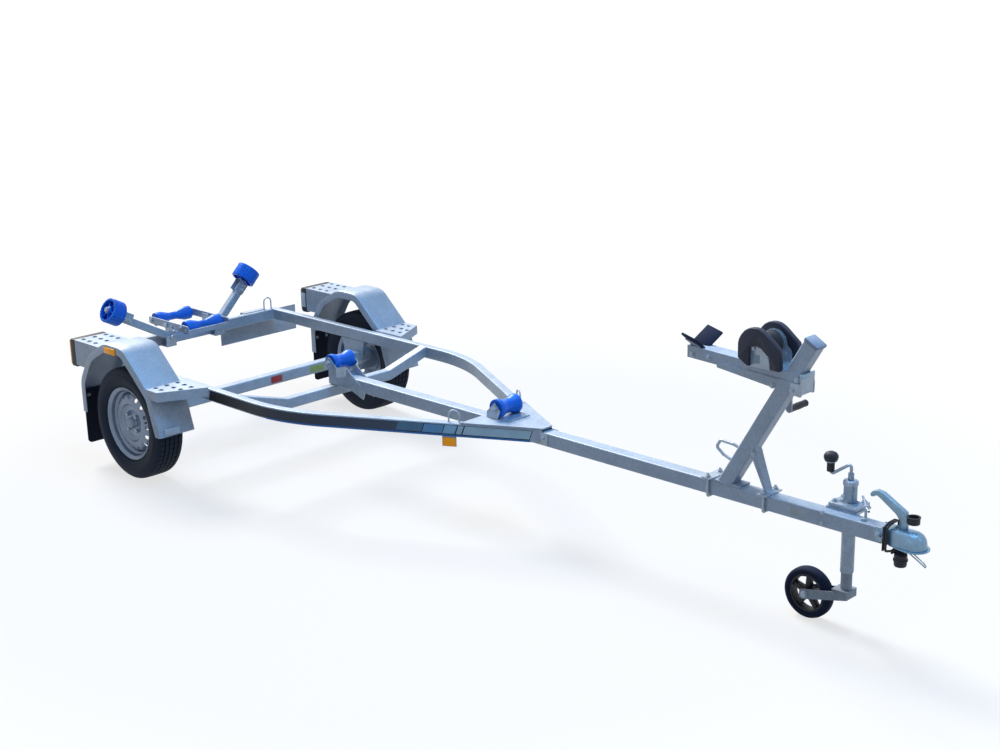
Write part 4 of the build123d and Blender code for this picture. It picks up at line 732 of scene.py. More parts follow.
LAMP_FRONT, LAMP_REAR = -0.380, -0.427
LAMP_LOW, LAMP_HIGH = 0.490, 0.628
LAMP_EDGE = 0.008         # the housing's rim round the lenses
lamp_red = moulded("lamp_red", (0.42, 0.012, 0.012), 0.14, 0.004, 0.05)
LENSES = [                # (start, end, measured in from the outer end, colour)
    (0.003, 0.062, amber), (0.065, 0.138, lamp_red), (0.141, 0.186, white_lens),
]
for side, sign in SIDES:
    inner, outer = sorted((sign * (GUARD_INNER + 0.001), sign * (GUARD_OUTER - 0.001)))
    housing = block(
        f"tail_lamp_housing_{side}", station(LAMP_REAR, inner, LAMP_LOW),
        station(LAMP_FRONT, outer, LAMP_HIGH), LAMP_EDGE, 4,
    )
    finished(housing, black_plastic, "chassis", "lamp_plastic", "tail_lamps")
    for number, (start, end, colour) in enumerate(LENSES):
        near, far = sorted((sign * (GUARD_OUTER - start), sign * (GUARD_OUTER - end)))
        lens = block(
            f"tail_lens_{number}_{side}",
            station(LAMP_REAR - 0.008, near, LAMP_LOW + LAMP_EDGE),
            station(LAMP_REAR + 0.004, far, LAMP_HIGH - LAMP_EDGE), 0.003, 3,
        )
        finished(lens, colour, "chassis", "lamp_plastic")
    window = plate(
        f"plate_lamp_lens_{side}",
        oblong(station(LAMP_REAR + 0.008, sign * (GUARD_INNER + 0.001), 0.520), AHEAD * 0.029,
               UP * 0.080),
        (0, -sign * 0.002, 0), 0.0008,
    )
    finished(window, white_lens, "chassis", "lamp_plastic")


# ---- Mud flaps and number-plate carrier --------------------------------------------------------
# The flaps are rubber sheet, each held by three screws through the mudguard's rear run. The
# carrier is a galvanised sheet, hung on the rear crossmember at the left.
FLAP_MIDDLE = 0.7175
FLAP_SCREWS = (-0.065, 0, 0.065)
dress(moulded("flap_sheet", (0.012, 0.016, 0.034), 0.7, 0.002, 0.25, shine=0.15), "mud_flaps")
dress(galvanised, "plate_carrier")
fixings("flap_screws", "chassis", 0.013, 0.007, 0.003, [
    (station(face, sign * FLAP_MIDDLE + across, 0.350), (heading, 0, 0))
    for sign in (-1, 1) for across in FLAP_SCREWS for face, heading in ((-0.345, 1), (-0.354, -1))
])


# ---- Keel rollers ------------------------------------------------------------------------------
# Blue rubber rollers with a waist that centres the keel. Each turns on a steel pin between the
# two ears of a zinc-plated bracket, with a nut on either end of the pin.
def keel_shape(half, end, waist, shoulder, neck):
    """Profile of a waisted roller: half length, two radii, and where its cone starts and ends."""
    outer = [
        (8.4, half), (16, half), (18, half - 3), (end - 8, half - 3), (end - 7, half),
        (end - 3, half), (end - 0.8, half - 1.6), (end, half - 5), (end, shoulder),
        (end - 2, shoulder - 5), ((end + waist) / 2, (shoulder + neck) / 2),
        (waist + 1.5, neck + 4), (waist, neck),
    ]
    return mm(outer + [(radius, -along) for radius, along in reversed(outer)])


blue_roller = moulded("blue_roller", (0.003, 0.18, 0.82), 0.36, 0.004, 0.08, shine=0.3)
dress(zinc, "keel_brackets")
KEEL_HEIGHT = 0.539
KEEL_EAR = 0.070          # the ears' outer faces
KEEL_SHAPE = keel_shape(62, 42, 30, 44, 14)
KEEL_ROLLERS = (("front", 1.768), ("rear", 0.658))
ACROSS = (0, 1, 0)
for place, ahead in KEEL_ROLLERS:
    roller = turned(
        f"keel_roller_{place}_rubber", KEEL_SHAPE, station(ahead, 0, KEEL_HEIGHT), ACROSS, 64
    )
    finished(roller, blue_roller, f"keel_{place}", "blue_rubber", f"keel_roller_{place}")
fixings("keel_nuts", "chassis", 0.024, 0.010, 0.006, [
    (station(ahead, sign * KEEL_EAR, KEEL_HEIGHT), (0, sign, 0))
    for place, ahead in KEEL_ROLLERS for sign in (-1, 1)
])


# ---- Stern cradle ------------------------------------------------------------------------------
# Two flat steel bars rock on pins in the stern mount's ears, with a longer waisted roller between
# them at each end. Small bolts in their outer faces hold the straps that tie them together.
CRADLE_HEIGHT = 0.532
CRADLE_FACE = 0.131       # the bars' outer faces
CRADLE_SHAPE = keel_shape(110, 36, 21, 70, 22)
CRADLE_ROLLERS = (("front", -0.482), ("rear", -0.762))
dress(zinc, "stern_mount")
dress(galvanised, "cradle")
for place, ahead in CRADLE_ROLLERS:
    roller = turned(
        f"cradle_roller_{place}_rubber", CRADLE_SHAPE, station(ahead, 0, CRADLE_HEIGHT), ACROSS, 64
    )
    finished(roller, blue_roller, f"cradle_{place}", "blue_rubber", f"cradle_roller_{place}")
fixings("cradle_roller_nuts", "cradle", 0.024, 0.009, 0, [
    (station(ahead, sign * CRADLE_FACE, CRADLE_HEIGHT), (0, sign, 0))
    for place, ahead in CRADLE_ROLLERS for sign in (-1, 1)
])
fixings("cradle_pivot_nuts", "chassis", 0.024, 0.009, 0, [
    (station(-0.622, sign * 0.1335, 0.528), (0, sign, 0)) for sign in (-1, 1)
])
fixings("cradle_strap_bolts", "cradle", 0.013, 0.006, 0, [
    (station(x, sign * CRADLE_FACE, z), (0, sign, 0))
    for x, z in ((-0.652, 0.522), (-0.573, 0.524), (-0.440, 0.526)) for sign in (-1, 1)
])


# ---- Side arms and their rollers ---------------------------------------------------------------
# Two arms of square tube stand in channels on the rear crossmember, each held by a bolt at an
# angle that suits the hull. A bracket on each end carries a blue roller, moulded with a ribbed
# rim, a hub and six webs.
RIBS = 26
RIB_STEPS = 6             # points round the rim for each rib; one of them sinks as the groove
RIB_DEPTH = 0.0028
WEBS = 6
WEB_REACH = 0.037         # of a web's middle from the pin
WEB_SIZE = (0.036, 0.005, 0.062)
RIM_FOOT = 0.0615         # points of the rim further out than this are its tread
RIM_SHAPE = mm([
    (52, -37.5), (62, -37.5), (64.4, -35.5), (65, -33), (65, 33), (64.4, 35.5), (62, 37.5),
    (52, 37.5), (52, 34), (53.5, 10), (53.5, -10), (52, -34),
])
HUB_SHAPE = mm([(8.6, -36), (18, -36), (21, -33), (21, 33), (18, 36), (8.6, 36)])
dress(galvanised, "side_arm_right", "side_arm_left")
fixings("arm_pivot_nuts", "chassis", 0.019, 0.010, 0, [
    (station(-0.549, sign * 0.150, 0.480), (1, 0, 0)) for sign in (-1, 1)
])
for side, sign in SIDES:
    joint = next(j for j in frame["joints"] if j["name"] == f"side_{side}_spin")
    centre, axis = Vector(joint["pos_m"]), Vector(joint["axis"]).normalized()
    ring = turned(f"side_roller_ring_{side}", RIM_SHAPE, centre, axis, RIBS * RIB_STEPS)
    across = axis.orthogonal().normalized()
    upright = axis.cross(across)
    for vertex in ring.data.vertices:
        spoke = vertex.co - centre
        spoke -= axis * spoke.dot(axis)
        angle = atan2(spoke.dot(upright), spoke.dot(across))
        step = round(angle / (2 * pi) * RIBS * RIB_STEPS) % RIB_STEPS
        if spoke.length > RIM_FOOT and step == 0:
            vertex.co -= spoke.normalized() * RIB_DEPTH
    parts = [ring, turned("roller_hub", HUB_SHAPE, centre, axis, 32)]
    for web_number in range(WEBS):
        angle = 2 * pi * web_number / WEBS
        reach = across * cos(angle) + upright * sin(angle)
        bpy.ops.mesh.primitive_cube_add(size=1)
        web = bpy.context.object
        web.data.transform(
            Matrix.Translation(centre + reach * WEB_REACH)
            @ Matrix((reach, axis.cross(reach), axis)).transposed().to_4x4()
            @ Matrix.Diagonal((*WEB_SIZE, 1))
        )
        parts.append(web)
    roller = joined(f"side_roller_ring_{side}", parts)
    break_edges(roller, 0.0008, 50)
    bpy.ops.object.shade_smooth_by_angle(angle=radians(30))
    finished(roller, blue_roller, f"side_{side}", "blue_rubber", f"side_roller_{side}")
    fixings(f"side_roller_nut_{side}", f"arm_{side}", 0.024, 0.009, 0, [
        (centre + axis * 0.0385, axis)
    ])
    down_arm = axis.cross(AHEAD)
    if down_arm.z > 0:
        down_arm = -down_arm
    fixings(f"arm_bracket_bolts_{side}", f"arm_{side}", 0.017, 0.008, 0.004, [
        (centre - axis * back + down_arm * 0.015 + AHEAD * face * 0.024, (face, 0, 0))
        for back in (0.064, 0.090) for face in (-1, 1)
    ])


# ---- Winch post --------------------------------------------------------------------------------
# A leaning post of square tube with a brace ahead of it, held down on the drawbar by two U-bolts
# with their nuts above. A grey plastic cap closes the post's upper end.
POST_LEAN = radians(30.7)
POST_LENGTH = 0.700
POST_FOOT = station(2.945, 0, 0.479)
CAP_HALF, CAP_THICK = 0.0325, 0.016
cap_grey = moulded("cap_grey", (0.33, 0.38, 0.47), 0.5, 0.002, 0.2)
dress(galvanised, "winch_post", "post_brace")
dress(zinc, "post_clamps")
up_post = Vector((sin(POST_LEAN), 0, cos(POST_LEAN)))
post_face = Vector((cos(POST_LEAN), 0, -sin(POST_LEAN)))
cap_foot = POST_FOOT + up_post * POST_LENGTH
cap = plate("post_cap", [
    cap_foot + post_face * (a * CAP_HALF) + Vector((0, b * CAP_HALF, 0))
    for a, b in ((-1, -1), (1, -1), (1, 1), (-1, 1))
], up_post * CAP_THICK, 0.006)
finished(cap, cap_grey, "chassis", "black_plastic")
fixings("post_clamp_nuts", "chassis", 0.017, 0.009, 0, [
    (station(x, sign * 0.039, z), UP) for x, z in ((2.877, 0.493), (3.132, 0.485))
    for sign in (-1, 1)
])
fixings("brace_bolts", "chassis", 0.017, 0.008, 0.003, [
    (station(3.070, sign * 0.020, 0.625), (0, sign, 0)) for sign in (-1, 1)
])


# ---- Winch beam --------------------------------------------------------------------------------
# A folded channel that the post passes through, with a stiffening plate bolted to each side. A
# plate closes its front end, with a bright strap over a slot and a bent ear at each corner. A
# dark sheet over the slot is its painted shade.
BEAM_BOLTS = ((2.792, 0.958), (2.868, 0.963), (3.158, 0.910), (3.242, 0.908), (3.262, 0.949))
BEAM_FRONT = 3.2798
BEAM_HALF, STIFFENED_HALF = 0.034, 0.038
STIFFENERS_START = 2.9    # the side plates begin ahead of this
bright_zinc = mottled(
    "bright_zinc", (0.16, 0.29, 0.42), (0.30, 0.44, 0.56), 0.5, 0.28, 0.004, 0.03, 0.06
)
mouth_shadow = moulded("mouth_shadow", (0.02, 0.06, 0.12), 0.7, 0.003, 0.1, shine=0.1)
dress(galvanised, "winch_beam")
fixings("beam_bolts", "chassis", 0.017, 0.008, 0.003, [
    (station(x, sign * (BEAM_HALF if x < STIFFENERS_START else STIFFENED_HALF), z), (0, sign, 0))
    for x, z in BEAM_BOLTS for sign in (-1, 1)
])
strap = plate(
    "beam_front_strap",
    oblong(station(BEAM_FRONT, -0.040, 0.954), Vector((0, 0.080, 0)), UP * 0.018),
    AHEAD * 0.005, 0.0015,
)
finished(strap, bright_zinc, "chassis", "zinc")
# Painted shade: a thin dark sheet on the front plate stands in for the shade inside the slot.
mouth = plate(
    "beam_mouth_shade",
    oblong(station(BEAM_FRONT + 0.0001, -0.031, 0.918), Vector((0, 0.062, 0)), UP * 0.036),
    AHEAD * 0.0006, 0.0002,
)
finished(mouth, mouth_shadow, "chassis", "galvanised")
EAR = [(3.236, 0, 0.936), (3.236, 0, 0.893), (3.284, 0, 0.887), (3.284, 0, 0.936)]
for side, sign in SIDES:
    ear = plate(f"beam_ear_{side}", [
        station(point.x, sign * 0.0385, point.z) for point in rounded(EAR, 0.008, 4)
    ], (0, sign * 0.004, 0), 0.001)
    finished(ear, zinc, "chassis", "zinc")


# ---- Bow stop ----------------------------------------------------------------------------------
# Two thick rubber slabs with rounded edges, bolted to a steel V at the beam's rear end, where
# the boat's bow comes to rest between them.
V_FALL, V_TILT = radians(15), radians(34)
SLAB_HALF = 0.0375
SLAB_START, SLAB_END = 0.007, 0.102
SLAB_THICK = 0.010
slab_rubber = moulded("slab_rubber", (0.014, 0.022, 0.050), 0.75, 0.003, 0.25, shine=0.12)
down_v = Vector((cos(V_FALL), 0, -sin(V_FALL)))
from_v = Vector((sin(V_FALL), 0, cos(V_FALL)))
fold = station(2.795, 0, 0.9798) + from_v * 0.001
for side, sign in SIDES:
    rise = from_v * sin(V_TILT) + Vector((0, sign * cos(V_TILT), 0))
    lift = from_v * cos(V_TILT) - Vector((0, sign * sin(V_TILT), 0))
    slab = plate(
        f"bow_slab_{side}",
        oblong(fold - down_v * SLAB_HALF + rise * SLAB_START, down_v * SLAB_HALF * 2,
               rise * (SLAB_END - SLAB_START)),
        lift * SLAB_THICK, 0.0035,
    )
    finished(slab, slab_rubber, "chassis", "black_rubber", "bow_rubbers")


# ---- Winch covers and cheek --------------------------------------------------------------------
# A moulded black cover clips over each side plate of the winch. The right one is open in the
# middle, where the zinc cheek shows with its two bolts and a blank data label.
COVER_LINE = [            # (ahead of the axle, height)
    (3.066, 0.974), (3.0245, 0.998), (3.0245, 1.054), (3.0285, 1.071), (3.038, 1.088),
    (3.0516, 1.1035), (3.067, 1.1135), (3.0843, 1.119), (3.101, 1.1205), (3.1172, 1.1185),
    (3.132, 1.112), (3.1457, 1.1034), (3.2027, 1.0575), (3.2089, 1.0386), (3.2085, 0.974),
]
WINDOW = [
    (3.0725, 0.970), (3.0725, 1.044), (3.101, 1.0557), (3.1283, 1.0494), (3.1643, 1.0196),
    (3.168, 0.970),
]
LABEL = [(3.074, 0.984), (3.114, 0.986), (3.114, 1.018), (3.074, 1.018)]
CHEEK_Y = -0.0585
COVER_INNER, COVER_WIDTH = 0.048, 0.026
cover_plastic = moulded("cover_plastic", (0.022, 0.029, 0.056), 0.45, 0.0015, 0.25, shine=0.3)
label_silver = moulded("cheek_label", (0.44, 0.56, 0.68), 0.4, 0.003, 0.05)
dress(zinc, "winch_frame")
for side, sign in SIDES:
    cover = plate(
        f"winch_cover_{side}", [station(x, sign * COVER_INNER, z) for x, z in COVER_LINE],
        (0, sign * COVER_WIDTH, 0), 0.006,
    )
    if side == "right":
        opening = [station(x, -0.058, z) for x, z in WINDOW]
        cut(cover, plate("window_cut", opening, (0, -0.03, 0), 0.0001))
    finished(cover, cover_plastic, "chassis", "black_plastic", "winch_covers")
cheek = plate("winch_cheek", [station(x, CHEEK_Y, z) for x, z in WINDOW], (0, 0.004, 0))
finished(cheek, zinc, "chassis", "zinc")
label = plate("winch_label", [station(x, CHEEK_Y, z) for x, z in LABEL], (0, -0.0005, 0), 0.0001)
finished(label, label_silver, "chassis", "lamp_plastic")
fixings("cheek_bolts", "chassis", 0.014, 0.006, 0, [
    (station(x, CHEEK_Y, z), (0, -1, 0)) for x, z in ((3.084, 1.041), (3.149, 1.008))
])


# ---- Winch drum, strap and crank ---------------------------------------------------------------
# A zinc-plated drum turns between the cheeks, with black polyester webbing wound on in layers.
# The crank is a flat steel arm, and a moulded grip turns on the pin at its end.
LAYERS = 31               # edges of webbing that show across the drum
WINDING = (
    [(22, -30)] + [(45.7 - (edge % 2) * 1.2, -30 + edge * 2) for edge in range(LAYERS)] + [(22, 30)]
)
GRIP = mm([
    (6.4, -52), (12, -52), (13.6, -50), (13.8, -46), (12.4, -40), (13.4, -20), (14, 0), (13.4, 20),
    (12.4, 40), (13.8, 46), (13.6, 50), (12, 52), (6.4, 52),
])
strap_weave = moulded("strap_weave", (0.012, 0.015, 0.024), 0.8, 0.002, 0.5)
dress(zinc, "winch_drum", "winch_crank")
winding = turned("strap_winding", mm(WINDING), station(3.105, 0, 1.045), ACROSS, 48)
finished(winding, strap_weave, "drum", "webbing", "winch_strap")
low, high = [Vector(corner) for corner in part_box("crank_grip")]
grip = turned("crank_handle_grip", GRIP, (low + high) / 2, ACROSS, 32)
finished(grip, black_plastic, "crank", "black_plastic", "crank_grip")


# ---- Jack tube, spindle crank and leg ----------------------------------------------------------
# A steel tube with a pressed cap, and a screw inside it that a bent crank with a plastic knob
# turns. The screw drives the darker leg, with the wheel's fork, in and out of the tube.
JACK_X, JACK_Y = 3.431, 0.072
TUBE_CAP = mm([
    (11.3, 8), (20, 8.5), (25, 7), (28, 3), (28.3, -8), (27.4, -11), (26.5, -11), (26.5, 4),
    (11.3, 6),
])
KNOB = mm([
    (0, 1), (12.5, 1), (14.3, 3), (14.6, 34), (17, 39), (23.5, 43), (27.2, 53), (26.6, 62),
    (21, 71), (11, 76), (0, 77),
])
# Painted shade: the tube's zinc is a darker copy of the plated zinc, for the drawbar's shadow on
# it.
tube_zinc_shaded = mottled(
    "tube_zinc_shaded", (0.22, 0.29, 0.38), (0.33, 0.42, 0.51), 0.3, 0.30, 0.004, 0.03, 0.06
)
leg_grey = mottled(
    "leg_grey", (0.17, 0.21, 0.26), (0.27, 0.32, 0.39), 0.2, 0.42, 0.006, 0.05, 0.08
)
dress(tube_zinc_shaded, "jack_tube")
dress(zinc, "jack_crank")
dress(leg_grey, "jack_leg", "jack_fork")
tube_cap = turned("jack_tube_cap", TUBE_CAP, station(JACK_X, JACK_Y, 0.576), UP, 32)
finished(tube_cap, zinc, "jack", "zinc")
knob = turned("jack_knob", KNOB, station(JACK_X - 0.086, JACK_Y, 0.596), UP, 32)
finished(knob, black_plastic, "jack", "black_plastic")


# ---- Jack clamp --------------------------------------------------------------------------------
# A plated saddle round the jack's tube, bolted through to the drawbar. A screw with a bent
# tommy bar draws it tight, and slackens it so that the whole jack can be slid up.
SADDLE_LOW, SADDLE_TOP = 0.4872, 0.503
SADDLE_BORE = mm([(0, -20), (26.6, -20), (26.6, 20), (0, 20)])
SPINDLE = mm([(0, 0), (5, 0), (5, 32), (8, 33), (9, 36), (9, 44), (7, 47), (0, 48)])
dress(zinc, "jack_clamp")
saddle = plate(
    "clamp_saddle",
    oblong(station(JACK_X - 0.056, 0.016, SADDLE_LOW), Vector((0, 0.095, 0)),
           UP * (SADDLE_TOP - SADDLE_LOW)),
    AHEAD * 0.116, 0.003,
)
cut(saddle, turned("saddle_bore", SADDLE_BORE, station(JACK_X, JACK_Y, 0.495), UP, 48))
finished(saddle, zinc, "chassis", "zinc")
fixings("clamp_bolts", "chassis", 0.017, 0.007, 0.004, [
    (station(JACK_X + x, y, SADDLE_TOP), UP)
    for x, y in ((-0.042, 0.036), (-0.042, 0.096), (0.044, 0.096))
])
fixings("clamp_nuts", "chassis", 0.019, 0.010, 0, [
    (station(JACK_X + x, y, 0.411), -UP) for x in (-0.048, 0.048) for y in (0.045, 0.090)
])
spindle = turned("clamp_spindle", SPINDLE, station(3.531, 0.016, 0.481), UP, 24)
finished(spindle, zinc, "chassis", "zinc")


def rod(name, corners, radius, bend, steps=6):
    """A bent round bar or cable through a line of corners."""
    path = rounded(corners, bend, steps)
    bpy.ops.curve.primitive_nurbs_path_add()
    piece = bpy.context.object
    piece.name = name
    piece.data.splines.clear()
    line = piece.data.splines.new("POLY")
    line.points.add(len(path) - 1)
    for point, place in zip(line.points, path):
        point.co = (*place, 1)
    piece.data.bevel_depth = radius
    piece.data.bevel_resolution = 4
    piece.data.use_fill_caps = True
    bpy.ops.object.convert(target="MESH")
    bpy.ops.object.shade_smooth_by_angle(angle=radians(50))
    return bpy.context.object


bar = rod("clamp_tommy_bar", [
    station(3.498, 0.046, 0.546), station(3.514, 0.032, 0.534), station(3.536, 0.010, 0.520),
    station(3.556, -0.006, 0.516),
], 0.0045, 0.012)
finished(bar, zinc, "chassis", "zinc")
fixings("drawbar_top_bolt", "chassis", 0.019, 0.007, 0, [(station(3.536, -0.004, 0.480), UP)])
fixings("drawbar_side_bolts", "chassis", 0.015, 0.006, 0.003, [
    (station(3.383, -0.030, z), (0, -1, 0)) for z in (0.4315, 0.474)
])


# ---- Jockey wheel ------------------------------------------------------------------------------
# A solid rubber tyre on a black moulded wheel with five flat spokes. It turns on a bolt through
# the fork's two arms.
jockey_spot = station(JACK_X - 0.157, JACK_Y, 0.100)
JOCKEY_TYRE = mm([
    (78, -24), (84, -25), (92, -23), (97.5, -18), (99.6, -11), (100, 0), (99.6, 11), (97.5, 18),
    (92, 23), (84, 25), (78, 24), (74, 20), (72, 12), (72, -12), (74, -20),
])
JOCKEY_HUB = mm([(8.6, -24), (17, -24), (20, -21), (20, 21), (17, 24), (8.6, 24)])
JOCKEY_RIM = mm([
    (66, -19), (74.5, -19), (75, -17), (73, -11), (73, 11), (75, 17), (74.5, 19), (66, 19),
    (65, 10), (65, -10),
])
SPOKES = 5
SPOKE_HALF = 0.013        # half its width along the axle
SPOKE_ENDS = ((0.018, 0.011), (0.067, 0.008), (0.067, -0.008), (0.018, -0.011))
jockey_tyre = turned("jockey_tyre", JOCKEY_TYRE, jockey_spot, ACROSS, 64)
finished(jockey_tyre, slab_rubber, "jockey", "wheel_rubber", "jockey_wheel")
parts = [
    turned("jockey_hub", JOCKEY_HUB, jockey_spot, ACROSS, 32),
    turned("jockey_rim", JOCKEY_RIM, jockey_spot, ACROSS, 64),
]
for spoke in range(SPOKES):
    angle = 2 * pi * spoke / SPOKES + 0.3
    reach = Vector((cos(angle), 0, sin(angle)))
    aside = Vector((-sin(angle), 0, cos(angle)))
    near_face = jockey_spot - Vector((0, SPOKE_HALF, 0))
    parts.append(plate("spoke", [
        near_face + reach * out + aside * half
        for out, half in SPOKE_ENDS
    ], (0, SPOKE_HALF * 2, 0), 0.002))
finished(joined("jockey_centre", parts), black_plastic, "jockey", "black_plastic")
fixings("jockey_nuts", "fork", 0.022, 0.008, 0, [
    (jockey_spot + Vector((0, sign * 0.034, 0)), (0, sign, 0)) for sign in (-1, 1)
])


# ---- Coupler head ------------------------------------------------------------------------------
# A pressed steel hood over the drawbar's end that widens to a dome round the ball, with a flat
# flange along its foot and a drawn cup inside. Two bolts a side hold its cheeks to the bar.
HOOD = [                  # (ahead of the axle, half width, top, squareness)
    (3.640, 0.0335, 0.4835, 0.22), (3.655, 0.0335, 0.4835, 0.24), (3.672, 0.0360, 0.4840, 0.30),
    (3.690, 0.0395, 0.4845, 0.40), (3.706, 0.0420, 0.4855, 0.52), (3.722, 0.0435, 0.4870, 0.64),
    (3.737, 0.0435, 0.4870, 0.72), (3.749, 0.0415, 0.4850, 0.76), (3.760, 0.0372, 0.4800, 0.78),
    (3.769, 0.0300, 0.4720, 0.80), (3.776, 0.0200, 0.4600, 0.84), (3.7795, 0.0110, 0.4460, 0.90),
    (3.7805, 0, 0.4270, 1),
]
HOOD_STRIPS = 24          # across the hood, from one foot to the other
HOOD_LOW = 0.426
BALL_X = 3.737
head_blue = mottled(
    "head_blue_zinc", (0.21, 0.35, 0.47), (0.27, 0.42, 0.54), 0.4, 0.24, 0.012, 0.06, 0.03
)
bpy.ops.mesh.primitive_grid_add(x_subdivisions=HOOD_STRIPS, y_subdivisions=len(HOOD) - 1)
hood = bpy.context.object
for row, (x, half, top, square) in enumerate(HOOD):
    for column in range(HOOD_STRIPS + 1):
        angle = pi * (1 - column / HOOD_STRIPS)
        up = sin(angle) ** square if sin(angle) > 1e-6 else 0
        out = (1 if cos(angle) > 0 else -1) * half * abs(cos(angle)) ** square
        vertex = hood.data.vertices[row * (HOOD_STRIPS + 1) + column]
        vertex.co = station(x, out, HOOD_LOW + (top - HOOD_LOW) * up)
bpy.ops.object.mode_set(mode="EDIT")
bpy.ops.mesh.select_all(action="SELECT")
bpy.ops.mesh.remove_doubles(threshold=0.00002)
bpy.ops.object.mode_set(mode="OBJECT")
close_skin()
if sum(face.normal.z * face.area for face in hood.data.polygons) < 0:
    bpy.ops.object.mode_set(mode="EDIT")
    bpy.ops.mesh.flip_normals()
    bpy.ops.object.mode_set(mode="OBJECT")
shell = hood.modifiers.new("shell", "SOLIDIFY")
shell.thickness = 0.003
shell.offset = -1
bpy.ops.object.modifier_apply(modifier=shell.name)
bpy.ops.object.shade_smooth_by_angle(angle=radians(40))
FLANGE_SIDE = [(3.655, 0.0345), (3.672, 0.0385), (3.690, 0.0440), (3.708, 0.0490)]
FLANGE_ROUND = 0.053      # radius of the flange round the ball
FLANGE_LOW, FLANGE_THICK = 0.424, 0.0045
flange_line = (
    [(x, -y) for x, y in FLANGE_SIDE]
    + [
        (BALL_X + FLANGE_ROUND * cos(radians(turn)), FLANGE_ROUND * sin(radians(turn)))
        for turn in range(-105, 106, 10)
    ]
    + FLANGE_SIDE[::-1]
)
flange = plate(
    "flange", [station(x, y, FLANGE_LOW) for x, y in flange_line], UP * FLANGE_THICK, 0.001
)
BALL_MOUTH = mm([(0, -20), (25.5, -20), (25.5, 20), (0, 20)])
cut(flange, turned("mouth_cut", BALL_MOUTH, station(BALL_X, 0, 0.425), UP, 40))
BALL_CUP = mm([
    (25.5, 424.5), (25.5, 431), (24.4, 438), (20, 446.5), (12, 453), (0.5, 455.5), (0.5, 458),
    (13, 455.5), (22, 448.5), (27, 439), (28, 431), (28, 424.5),
])
ball_cup = turned("ball_cup_shell", BALL_CUP, station(BALL_X, 0, 0), UP, 40)
CHEEK = [(3.600, 0.4305), (3.640, 0.4275), (3.640, 0.4805), (3.600, 0.4805)]
cheeks = [
    plate("cheek", [station(x, sign * 0.0305, z) for x, z in CHEEK], (0, sign * 0.003, 0), 0.0008)
    for sign in (-1, 1)
]
head = joined("coupler_head", [hood, flange, ball_cup, *cheeks])
finished(head, head_blue, "chassis", "zinc", "coupler")
fixings("coupler_bolts", "chassis", 0.019, 0.011, 0.005, [
    (station(x, sign * 0.0335, z), (0, sign, 0)) for x, z in ((3.614, 0.456), (3.632, 0.442))
    for sign in (-1, 1)
])


# ---- Coupler lever and plug rest ---------------------------------------------------------------
# A pressed lever with a hooked grip lifts the lock off the ball. A black plastic ring stands on
# the head ahead of it, to park the lighting plug in while the trailer is unhitched.
LEVER_LINE = [            # (ahead of the axle, height)
    (3.705, 0.484), (3.674, 0.484), (3.678, 0.516), (3.664, 0.535), (3.600, 0.578), (3.585, 0.586),
    (3.574, 0.579), (3.563, 0.576), (3.558, 0.587), (3.567, 0.598), (3.586, 0.606), (3.611, 0.602),
    (3.702, 0.550), (3.708, 0.530),
]
LEVER_WIDTH = 0.022
REST = mm([
    (18.5, -13), (21.5, -13), (22.5, -11.5), (22.5, 8), (24, 9), (24.5, 11), (24, 13), (19.5, 13),
    (18.5, 12),
])
lever = plate(
    "coupler_lever", [station(x, -LEVER_WIDTH / 2, z) for x, z in LEVER_LINE],
    (0, LEVER_WIDTH, 0), 0.004,
)
finished(lever, head_blue, "chassis", "zinc", "coupler_handle")
rest = turned("plug_rest_ring", REST, station(3.728, 0, 0.5275), UP, 32)
finished(rest, black_plastic, "chassis", "black_plastic", "plug_rest")


# ---- Lighting cable and plug -------------------------------------------------------------------
# Black rubber cable, wound twice round the coupler's neck before it drops to a moulded plug with
# a sprung lid. It is held on the steel all the way, with no slack.
PLUG = mm([
    (0, 26), (8, 26), (12, 23), (19, 21), (23, 18), (23.5, 2), (26, 0), (26, -6), (23, -8),
    (22.5, -22), (20.5, -26), (17, -26), (16, -12), (0, -12),
])
TURN = [                  # one turn round the bar: (ahead of its start, y, z)
    (0, -0.045, 0.405), (0.002, -0.047, 0.490), (0.004, -0.020, 0.502), (0.004, 0.020, 0.502),
    (0.005, 0.047, 0.490), (0.007, 0.045, 0.396), (0.009, 0, 0.392),
]
TURN_STARTS = (3.640, 3.650)
CABLE_RADIUS = 0.0045
low, high = [Vector(corner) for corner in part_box("light_plug")]
plug_spot = (low + high) / 2 + Vector((0.008, 0, 0.024))
plug = turned("plug_body", PLUG, plug_spot, UP, 32)
finished(plug, black_plastic, "chassis", "black_plastic", "light_plug")
cable_line = [station(start + x, y, z) for start in TURN_STARTS for x, y, z in TURN]
cable_line += [station(3.664, -0.040, 0.396), station(3.680, -0.018, 0.410)]
cable_line += [station(3.697, -0.002, 0.408)]
cable = rod("lighting_cable", cable_line, CABLE_RADIUS, 0.012, 4)
finished(cable, black_plastic, "chassis", "black_plastic", "light_cable")


# ---- Breakaway wire ----------------------------------------------------------------------------
# A stiff loop of thin steel wire under the right side of the coupler's flange, for the cable
# that holds the trailer if the coupler comes off.
WIRE_Y = -0.034
WIRE_LINE = [
    (3.726, 0.4245), (3.792, 0.388), (3.801, 0.380), (3.803, 0.388), (3.794, 0.397),
    (3.746, 0.4245),
]
wire = rod("breakaway_loop", [station(x, WIRE_Y, z) for x, z in WIRE_LINE], 0.0024, 0.004, 4)
finished(wire, zinc, "chassis", "steel_wire", "breakaway_wire")


# ---- Rail ends ---------------------------------------------------------------------------------
# Where the two rails meet on the drawbar, a small zinc-plated steel plate is bolted over the
# joint on either side of the bar.
for side, sign in SIDES:
    end_plate = plate(
        f"rail_end_plate_{side}",
        oblong(station(1.990, sign * 0.0305, 0.424), AHEAD * 0.050, UP * 0.056),
        (0, sign * 0.004, 0), 0.001,
    )
    finished(end_plate, zinc, "chassis", "zinc")
fixings("rail_end_bolts", "chassis", 0.017, 0.008, 0.003, [
    (station(2.016, sign * 0.0345, 0.456), (0, sign, 0)) for sign in (-1, 1)
])


